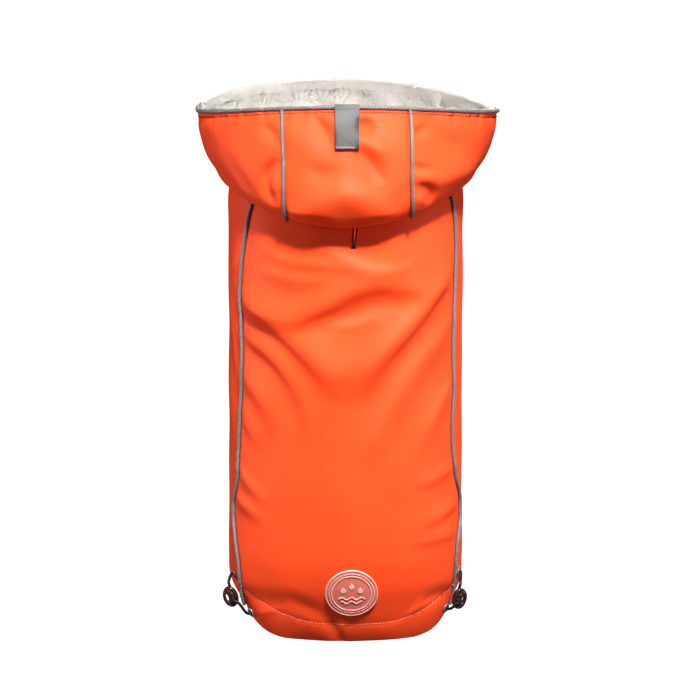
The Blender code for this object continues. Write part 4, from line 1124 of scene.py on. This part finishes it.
def pipingPiece(name, node, path, facing, closed=False):
    path, facing = evenLine(path, facing, piping["step"], closed)
    radius = piping["rimRadius"] if closed else piping["radius"]
    verts, faces, uv = tubeMesh(path, facing, radius, piping["sides"], closed, twist)
    turn = 2 * math.pi * np.arange(piping["sides"]) / piping["sides"]
    # rib is 1 on the ribs and 0 in the grooves; the tape material paints shade into the grooves from it
    rib = (twist(turn[None, :], lengthAlong(path)[:, None]) - 1 + piping["depth"]) / piping["depth"]
    rib = np.concatenate((rib.ravel(), [0.5] * (len(verts) - rib.size)))
    addPiece(name, verts, faces, pipingMaterial, "piping", [node], uv, {"rib": rib})


def makePipings():
    across = np.linspace(0, 1, 900, endpoint=False)
    edge, over, fall = surfaceSlopes(wholeHood, across, np.zeros(900))
    facing, rise = unit(np.cross(fall, over)), unit(-fall)
    back = np.cos(np.radians(-180 + 360 * across))
    lift = piping["rimRadius"] - 1.1 * np.clip(back, 0, 1) - 1.9 * np.clip(-3 * back, 0, 1)
    edge = edge + rise * lift[:, None] + facing * piping["rimStand"]
    pipingPiece("rimPiping", "rim_piping", edge, facing, closed=True)
    hoodDrop, backDrop = np.linspace(0.004, 0.83, 400), np.linspace(0.1, 0.994, 900)
    dip = hoodLook["seamDip"] * np.clip(hoodDrop * lastRow * 6, 0, 1)
    for side in ("left", "right"):
        surface = hoodPanel(lambda row: hoodSeam(side, row), lambda row: hoodSeam(side, row) + 1)
        path, facing = surfaceLine(surface, 0 * hoodDrop, hoodDrop)
        path = path + facing * (piping["stand"] + dip)[:, None]
        pipingPiece("hoodPiping" + side.capitalize(), "hood_piping_" + side, path, facing)
    for side, guess in seamGuess.items():
        surface = bodyPanel(seam(side), seam(side, 1), guess, guess + 1)
        path, facing = surfaceLine(surface, 0 * backDrop, backDrop)
        path = path + facing * (piping["stand"] + bodyLook["seamDip"])
        pipingPiece("backPiping" + side.capitalize(), "back_piping_" + side, path, facing)


makePipings()
print("pipings made")


# Sewing
stitch = {"pitch": 3.6, "length": 2.8, "radius": 0.5, "hemRadius": 0.36, "slitRadius": 0.5, "fineRadius": 0.3}


def makeStitches():
    across = np.linspace(0, 1, 1400)
    firstRow, rimRow = [hoodBase(-180 + 360 * across, np.full(1400, row))[0] for row in (1.0, 0.0)]
    rowStep = np.linalg.norm(firstRow - rimRow, axis=1)
    path, facing = surfaceLine(wholeHood, across, hoodLook["topstitch"] / rowStep / lastRow)
    path = path + facing * 0.5 * hoodLook["stitchGroove"]
    addPiece("rimTopstitch", *sewLine(path, facing, stitch["radius"]), redThread, "face_cloth")
    around = np.linspace(-176, 176, 1200) + bodyShape["hemTurn"]
    down = lineDown(casingLine, around)
    over = bodyPoint(around + 0.2, down) - bodyPoint(around - 0.2, down)
    facing = unit(np.cross(bodyPoint(around, down + 3.0) - bodyPoint(around, down - 3.0), over))
    path = bodyPoint(around, down) + facing * 0.5 * bodyLook["stitchGroove"]
    runs = [sewLine(*line, stitch["hemRadius"]) for line in ((path, facing), *legStitches)]
    addPiece("hemTopstitch", *joinMeshes(*runs), paleThread, "face_cloth")


def makeSlitStitches():  # close stitches round the slit's edge, and a bar at its foot
    middle, half, span, hem = slitPlace()
    turn = np.linspace(0, 2 * math.pi, 96, endpoint=False)
    line = [(middle[0] + (leashSlit["halfAcross"] + out) * np.cos(turn) / span,
             middle[1] + (leashSlit["halfTall"] + out) * np.sin(turn) / hem) for out in (0.1, 1.5)]
    bar = np.linspace(-2.0, 2.0, 9) / span
    foot = middle[1] + (leashSlit["halfTall"] + np.array((0.8, 3.4))) / hem
    bars = [(middle[0] + bar, 0 * bar + end) for end in foot]
    parts = []
    for (starts, ends), radius in ((line, stitch["slitRadius"]), (bars, stitch["fineRadius"])):
        inner, facing = surfaceLine(backSurface, *starts)
        parts.append(threadMesh(inner, backSurface(*ends), facing, radius))
    addPiece("slitStitches", *joinMeshes(*parts), darkThread, "face_cloth")


makeStitches()
makeSlitStitches()
print("sewing made")


# Sewn tab over the rim piping
tab = {"middle": -0.5, "width": 23.5, "wall": 0.55, "bow": 0.7, "skew": 0.8, "off": 0.75, "settle": 12,
       "columns": 22, "rows": 72, "zigzag": 3}
tabPath = table(
    "off below",
    (-0.5, -3.4), (1.2, -3.5), (2.6, -2.6), (3.0, -1.2), (2.7, 0.8), (2.0, 3), (1.4, 7), (1.1, 14),
    (1.0, 22), (1.2, 30), (1.4, 36.5), (1.8, 44),
)


def makeTab():
    rowLength = lengthAlong(np.stack((hoodRings["back"], hoodRings["heightBack"]), axis=1))
    line = smoothLine(np.stack((tabPath["off"] + tab["off"], tabPath["below"]), axis=1), tab["rows"])
    columns = np.linspace(-0.5, 0.5, tab["columns"])
    count = len(columns)
    outer, uv = [], []
    along = lengthAlong(line)
    for (off, below), length in zip(line, along):
        share = np.clip(below / tabPath["below"][-1], 0, 1)
        across = tab["middle"] + tab["width"] * columns + tab["skew"] * share
        angle = np.degrees(np.arcsin(across / hoodRings["halfWidth"][0]))
        row = np.full(count, np.interp(max(below, 0), rowLength, np.arange(lastRow + 1)))
        here = hoodBase(angle, row)[0]
        fall = hoodBase(angle, row + 0.05)[0] - here
        facing = unit(np.cross(fall, hoodBase(angle + 0.5, row)[0] - here))
        rise = -unit(fall) * max(0.0, -below)
        settle = np.clip(below / tab["settle"], 0, 1)
        bow = tab["bow"] * math.sin(math.pi * share) * (1 - 0.5 * (2 * columns) ** 2)
        base = here * (1 - settle) + hoodPoint(angle, row) * settle
        outer.append(base + facing * (off + bow)[:, None] + rise)
        uv.append(np.stack((columns * tab["width"] * mm, np.full(count, length * mm)), axis=1))
    points, faces = grid(np.arange(count), np.arange(len(line)))
    outer, uv = np.concatenate(outer), np.concatenate(uv)
    verts, allFaces, onRim = shell(outer, faces, tab["wall"])
    # drop runs from the tab's top to its foot; the satin material paints shade darker toward the foot from it
    drop = np.repeat(along / along[-1], count)
    addPiece("satinTab", verts, allFaces, satinMaterial, "label_satin", ["label_tab"],
             np.concatenate((uv, uv, uv[onRim])), {"drop": np.concatenate((drop, drop, drop[onRim]))})
    normals = vertexNormals(outer, faces)
    normals = np.where(normals[:, 1:2] > 0, -normals, normals)
    foot = np.arange(1, count - 1, 2) + (len(line) - 5) * count
    zig = outer[foot + tab["zigzag"] * count * (np.arange(len(foot)) % 2)]
    radius = stitch["fineRadius"]
    points = zig + normals[foot] * radius
    addPiece("tabZigzag", *threadMesh(points[:-1], points[1:], normals[foot][:-1], radius), whiteThread,
             "label_satin")


makeTab()
print("tab made")


# Round rubber badge: a raised rim, a ring of beads, three drops over two waves
badgeArt = {"beads": 56, "beadRing": 21.9, "beadSize": 0.85, "ring": 19.3, "ringWidth": 0.6, "dropSize": 3.6,
            "drops": ((-8.2, 3.2), (0.0, 7.6), (8.2, 3.2)), "waves": ((-5.2, 13.2), (-9.6, 10.4)),
            "waveHeight": 1.3, "waveLength": 9.5, "waveWidth": 0.75, "edge": 0.35}


def badgeRelief(x, y):  # 0 on the ground, 1 where the design is raised
    art = badgeArt
    far = np.hypot(x, y)
    turn = np.arctan2(y, x)
    step = 2 * math.pi / art["beads"]
    near = np.round(turn / step) * step
    bead = np.hypot(x - art["beadRing"] * np.cos(near), y - art["beadRing"] * np.sin(near)) - art["beadSize"]
    ring = np.abs(far - art["ring"]) - art["ringWidth"]
    shapes = [bead, ring]
    for dropX, dropY in art["drops"]:
        dx, dy = x - dropX, y - dropY
        size = art["dropSize"]
        taper = np.clip((dy + size * 0.35) / (size * 1.55), 0, 1)
        body = np.hypot(dx, dy) - size * 0.72
        flank = np.abs(dx) - size * 0.70 * (1 - taper) ** 0.8
        point = np.maximum(flank, np.abs(dy - size * 0.35) - size * 0.95)
        shapes.append(np.minimum(body, np.where(dy > -size * 0.2, point, 9.0)))
    pace = 2 * math.pi / art["waveLength"]
    for height, limit in art["waves"]:
        curve = height + art["waveHeight"] * np.cos(pace * x)
        slope = art["waveHeight"] * pace * np.sin(pace * x)
        wave = np.abs(y - curve) / np.sqrt(1 + slope ** 2) - art["waveWidth"]
        shapes.append(np.maximum(wave, np.abs(x) - limit))
    nearest = np.minimum.reduce(shapes)
    return np.clip(0.5 - nearest / art["edge"], 0, 1)


def makeBadge():
    radius, rim = badge["radius"], badge["rim"]
    rings = np.concatenate((np.linspace(0.35, radius - 0.8, 66), radius - np.array((0.5, 0.25, 0.08, 0.0))))
    segments = 200
    turn = 2 * math.pi * np.arange(segments) / segments
    x = np.concatenate(([0.0], (rings[:, None] * np.cos(turn)).ravel()))
    y = np.concatenate(([0.0], (rings[:, None] * np.sin(turn)).ravel()))
    far = np.hypot(x, y)
    relief = badgeRelief(x, y)
    onRim = np.clip((far - (radius - rim)) / 0.5, 0, 1)
    fineRings = 0.5 + 0.5 * np.cos((far - radius + rim) * 2 * math.pi / badge["rimRings"])
    height = badge["wall"] + badge["relief"] * relief * (1 - onRim)
    height = height + onRim * (badge["rimLift"] + badge["ringLift"] * fineRings)
    over = np.clip((far - (radius - badge["edgeRound"])) / badge["edgeRound"], 0, 1)
    height = height - (1 - np.sqrt(np.maximum(1 - over ** 2, 0))) * badge["edgeDrop"]
    down = float(downAt(badge["height"])) - y
    angle = np.degrees(np.arcsin((badge["across"] + x) / bodyRing("halfWidth", down)))
    face = bodyPoint(angle, down)
    index = 1 + np.arange(len(rings) * segments).reshape(len(rings), segments)
    quads = ringFaces(index)[:, (0, 3, 2, 1)]
    normals = vertexNormals(face, quads)
    normals[0] = normals[1:segments + 1].mean(axis=0)
    if normals[0][1] > 0:
        normals = -normals
    outer = face + normals * (height + badge["stand"])[:, None]
    inner = face - normals * badge["sink"]
    count = len(face)
    faces = [(0, a, b) for a, b in zip(index[0], np.roll(index[0], -1))] + quads.tolist()
    lower = [[count + corner for corner in polygon[::-1]] for polygon in faces]
    edge = [(count + a, count + b, b, a) for a, b in zip(index[-1], np.roll(index[-1], -1))]
    raised = np.maximum(relief, onRim)
    addPiece("rubberBadge", np.concatenate((outer, inner)), faces + lower + edge, rubberMaterial,
             "badge_rubber", ["badge"], None, {"raised": np.concatenate((raised, raised))})


makeBadge()
print("badge made")


# Eyelets, cord locks and the elastic drawcord at each side of the hem
eyelet = {"outer": 5.0, "inner": 1.85, "stand": 0.6, "lift": 1.35, "segments": 40}
eyelets = {
    "eyelet_left_upper": (-74.0, -424.5),
    "eyelet_left_lower": (-60.6, -461.0),
    "eyelet_right_upper": (76.5, -423.0),
    "eyelet_right_lower": (67.0, -458.0),
}
cordLock = {"middle": 0.0, "halfLong": 10.8, "halfWide": 7.6, "halfThick": 2.8, "boss": 1.2, "bossMiddle": 2.4,
            "bossReach": 4.5}
lockSlot = {"middle": -3.8, "halfWide": 1.3, "halfLong": 3.6}
cordLocks = {  # centre, long axis, face direction, side of the slot
    "left": ((-114.5, -39.0, -445.0), (0.31, 0.0, -0.95), (-0.15, -0.98, -0.05), -1),
    "right": ((113.5, -39.0, -447.0), (-0.21, 0.0, -0.97), (0.45, -0.88, -0.10), 1),
}
cordRoutes = {  # where the cord meets the lock, and the way it leaves it: inwards, along, off its face
    "left": (((2.4, -11.2, 0.0), (0.0, -1.0, 0.0)), ((3.4, 4.0, 6.3), (1.0, 0.6, 0.35))),
    "right": (((2.4, -11.2, 0.0), (0.0, -1.0, 0.0)), ((3.8, 2.6, 6.6), (1.0, 0.5, 0.45))),
}
drawcord = {"radius": 1.5, "start": 1.0, "rise": 2.0, "leave": 2.6, "strands": 8, "braid": 4.0, "depth": 0.09,
            "tail": 2.5, "throughLock": (2.6, -3.0, 0.4)}


def placeOnBody(around, height, off):
    down = float(downAt(height))
    spots = bodyPoint(np.array((around, around + 1.0, around - 1.0, around, around)),
                      np.array((down, down, down, down + 2.0, down - 2.0)))
    facing = unit(np.cross(spots[3] - spots[4], spots[1] - spots[2]))
    return spots[0] + facing * off, facing


def makeEyelets():
    bead = eyelet["outer"] - eyelet["inner"]
    turn = np.linspace(0, math.pi, 9)
    middle = (eyelet["outer"] + eyelet["inner"]) / 2
    profile = [(middle - math.cos(a) * bead / 2, eyelet["lift"] * math.sin(a) ** 0.7) for a in turn]
    profile += [(eyelet["outer"] - 0.6, -0.5), (eyelet["inner"] + 0.1, -1.6)]
    segments = eyelet["segments"]
    for node, (around, height) in eyelets.items():
        centre, facing = placeOnBody(around, height, eyelet["stand"])
        over = unit(np.cross(facing, (0, 0, 1.0)))
        rise = np.cross(facing, over)
        verts = []
        for k in range(segments):
            angle = 2 * math.pi * k / segments
            spoke = over * math.cos(angle) + rise * math.sin(angle)
            verts += [centre + spoke * reach + facing * lift for reach, lift in profile]
        size = len(profile)
        faces = [(k * size + j, k * size + (j + 1) % size, (k + 1) % segments * size + (j + 1) % size,
                  (k + 1) % segments * size + j) for k in range(segments) for j in range(size)]
        _, side, place = node.split("_")
        addPiece("eyelet" + side.capitalize() + place.capitalize(), np.array(verts), faces, eyeletMaterial,
                 "eyelet_metal", [node])


def lockAxes(side):
    centre, longAxis, faceAxis, slotSide = cordLocks[side]
    longAxis = unit(np.array(longAxis))
    inward = unit(np.cross(longAxis, faceAxis))
    faceAxis = np.cross(inward, longAxis)
    if inward[0] * slotSide > 0:
        inward = -inward
    return np.array(centre), inward, longAxis, faceAxis


def makeLocks():
    segments, rings = 64, 22
    shares = 0.5 - 0.5 * np.cos(np.linspace(0, math.pi, rings))
    turn = 2 * math.pi * np.arange(segments) / segments
    slot, rim = [np.stack((oval["middle"] + oval["halfWide"] * np.cos(turn), oval["halfLong"] * np.sin(turn)), 1)
                 for oval in (lockSlot, cordLock)]
    flat = (slot[None] + (rim - slot)[None] * shares[:, None, None]).reshape(-1, 2)
    share = np.repeat(shares, segments)
    rounded = np.sqrt(np.maximum(1 - np.abs(2 * share - 1) ** 5, 0))
    reach = np.hypot(flat[:, 0] - cordLock["bossMiddle"], flat[:, 1])
    boss = cordLock["boss"] * np.clip(1.25 - reach / cordLock["bossReach"], 0, 1) ** 0.5
    dish, bead = -0.55 * bell(share - 0.68, 0.13), 0.35 * bell(share - 0.9, 0.06)
    half = cordLock["halfThick"] * rounded + np.where(rounded > 0.5, boss * 0.9 + dish + bead, 0)
    count = rings * segments
    faces = ringFaces(np.arange(count).reshape(rings, segments))[:, (0, 3, 2, 1)]
    for side in cordLocks:
        centre, inward, longAxis, faceAxis = lockAxes(side)
        base = centre + flat[:, :1] * inward + flat[:, 1:] * longAxis
        verts = np.concatenate((base + faceAxis * half[:, None], base - faceAxis * half[:, None]))
        turned = faces if np.dot(np.cross(inward, longAxis), faceAxis) > 0 else faces[:, ::-1]
        addPiece("cordLock" + side.capitalize(), verts, np.concatenate((turned, count + turned[:, ::-1])),
                 lockMaterial, "lock_plastic", ["cord_lock_" + side])


def braid(turn, along):
    one, two = [np.cos(drawcord["strands"] / 2 * turn + way * 2 * math.pi * along / drawcord["braid"])
                for way in (1, -1)]
    return 1 - drawcord["depth"] * (1 - np.maximum(one, two) * 0.5 - 0.5)


def makeDrawcords():
    for side in cordLocks:
        centre, inward, longAxis, faceAxis = lockAxes(side)
        axes = np.stack((inward, longAxis, faceAxis))
        (topMeet, topLeave), (footMeet, footLeave) = cordRoutes[side]
        top, topFacing = placeOnBody(*eyelets["eyelet_%s_upper" % side], drawcord["start"])
        foot, footFacing = placeOnBody(*eyelets["eyelet_%s_lower" % side], drawcord["start"])
        topEnd, footEnd = centre + np.array(topMeet) @ axes, centre + np.array(footMeet) @ axes
        inLock = centre + np.array(drawcord["throughLock"]) @ axes
        route = [top - topFacing * drawcord["tail"], top, top + topFacing * drawcord["rise"],
                 topEnd + np.array(topLeave) @ axes * drawcord["leave"], topEnd, inLock,
                 footEnd, footEnd + np.array(footLeave) @ axes * drawcord["leave"],
                 foot + footFacing * drawcord["rise"], foot, foot - footFacing * drawcord["tail"]]
        path = smoothLine(route, 260)
        length = lengthAlong(path)[-1]
        facing = unit(np.cross(np.gradient(path, axis=0), inward))
        verts, faces, uv = tubeMesh(path, facing, drawcord["radius"], 16, False, braid)
        name = "drawcord" + side.capitalize()
        cord = addPiece(name, verts, faces, elasticMaterial, "elastic",
                        ["drawcord_%s_upper" % side, "drawcord_%s_lower" % side], uv)
        print("drawcord %s: %.1f mm" % (side, length))


makeEyelets()
makeLocks()
makeDrawcords()
print("hem hardware made")


# Stage: a pale floor well below the hem, soft studio light and white surroundings
studio = {"floorHeight": -0.85, "floorSize": 24.0, "floorColour": (0.3, 0.3, 0.3), "surround": 0.09,
          "backdrop": 1.05, "fillColour": (1.0, 0.86, 0.88)}
beams = {  # power in watts, radius, place and point aimed at in metres, cone in degrees
    "keyLight": (640.0, 0.3, (0.26, -1.1, 1.3), (0.0, 0.0, -0.17), 13.5),
    "bodyLight": (860.0, 0.26, (0.28, -1.25, 1.15), (0.01, -0.1, -0.235), 8.6),
}
fillLights = {  # power in watts, size and place in metres, the point aimed at
    "frontLight": (3.5, 0.9, (-0.3, -2.0, 0.25), (0.0, 0.0, -0.2)),
    "leftLight": (8.0, 0.7, (-1.4, -0.1, -0.1), (-0.1, 0.0, -0.2)),
    "rightLight": (5.0, 0.6, (1.3, -0.3, -0.1), (0.1, 0.0, -0.25)),
    "backLight": (12.0, 0.8, (0.3, 1.4, 0.9), (0.0, 0.0, -0.25)),
}


def addLight(name, kind, power, place, aim):
    data = bpy.data.lights.new(name, kind)
    data.energy = power
    light = linkNew(name, data)
    light.location = place
    light.rotation_euler = (Vector(aim) - Vector(place)).to_track_quat("-Z", "Y").to_euler()
    return data


def makeStage():
    for name, (power, radius, place, aim, cone) in beams.items():
        beam = addLight(name, "SPOT", power, place, aim)
        beam.shadow_soft_size = radius
        beam.spot_size = math.radians(cone)
        beam.spot_blend = 1.0
    for name, (power, size, place, aim) in fillLights.items():
        panel = addLight(name, "AREA", power, place, aim)
        panel.color = studio["fillColour"]
        panel.shape = "SQUARE"
        panel.size = size
    world = bpy.data.worlds.new("surroundings")
    bpy.context.scene.world = world
    world.use_nodes = True
    tree = world.node_tree
    background = tree.nodes["Background"].inputs
    background["Color"].default_value = (1, 1, 1, 1)
    rays = tree.nodes.new("ShaderNodeLightPath")
    plug(tree, mathNode(tree, "MULTIPLY_ADD", rays.outputs["Is Camera Ray"],
                        studio["backdrop"] - studio["surround"], studio["surround"]), background["Strength"])
    half, height = studio["floorSize"] / 2, studio["floorHeight"]
    mesh = bpy.data.meshes.new("floor")
    corners = ((-half, -half), (half, -half), (half, half), (-half, half))
    mesh.from_pydata([(x, y, height) for x, y in corners], [], [(0, 1, 2, 3)])
    floor = linkNew("floor", mesh)
    material, tree = newMaterial("paleFloor")
    shader = tree.nodes["Principled BSDF"]
    shader.inputs["Base Color"].default_value = studio["floorColour"] + (1,)
    shader.inputs["Roughness"].default_value = 0.9
    rays, glow, clear, below, lit, sides = [tree.nodes.new("ShaderNode" + kind) for kind in (
        "LightPath", "Emission", "BsdfTransparent", "NewGeometry", "MixShader", "MixShader")]
    glow.inputs["Strength"].default_value = 1.0
    for node, parts in ((lit, (rays.outputs["Is Camera Ray"], shader.outputs[0], glow.outputs[0])),
                        (sides, (below.outputs["Backfacing"], lit.outputs[0], clear.outputs[0]))):
        for socket, value in zip(node.inputs, parts):
            plug(tree, value, socket)
    plug(tree, sides.outputs[0], tree.nodes["Material Output"].inputs["Surface"])
    mesh.materials.append(material)


makeStage()
bpy.context.scene.view_settings.view_transform = "Standard"
bpy.context.scene.view_settings.look = "Medium High Contrast"
print("stage set")
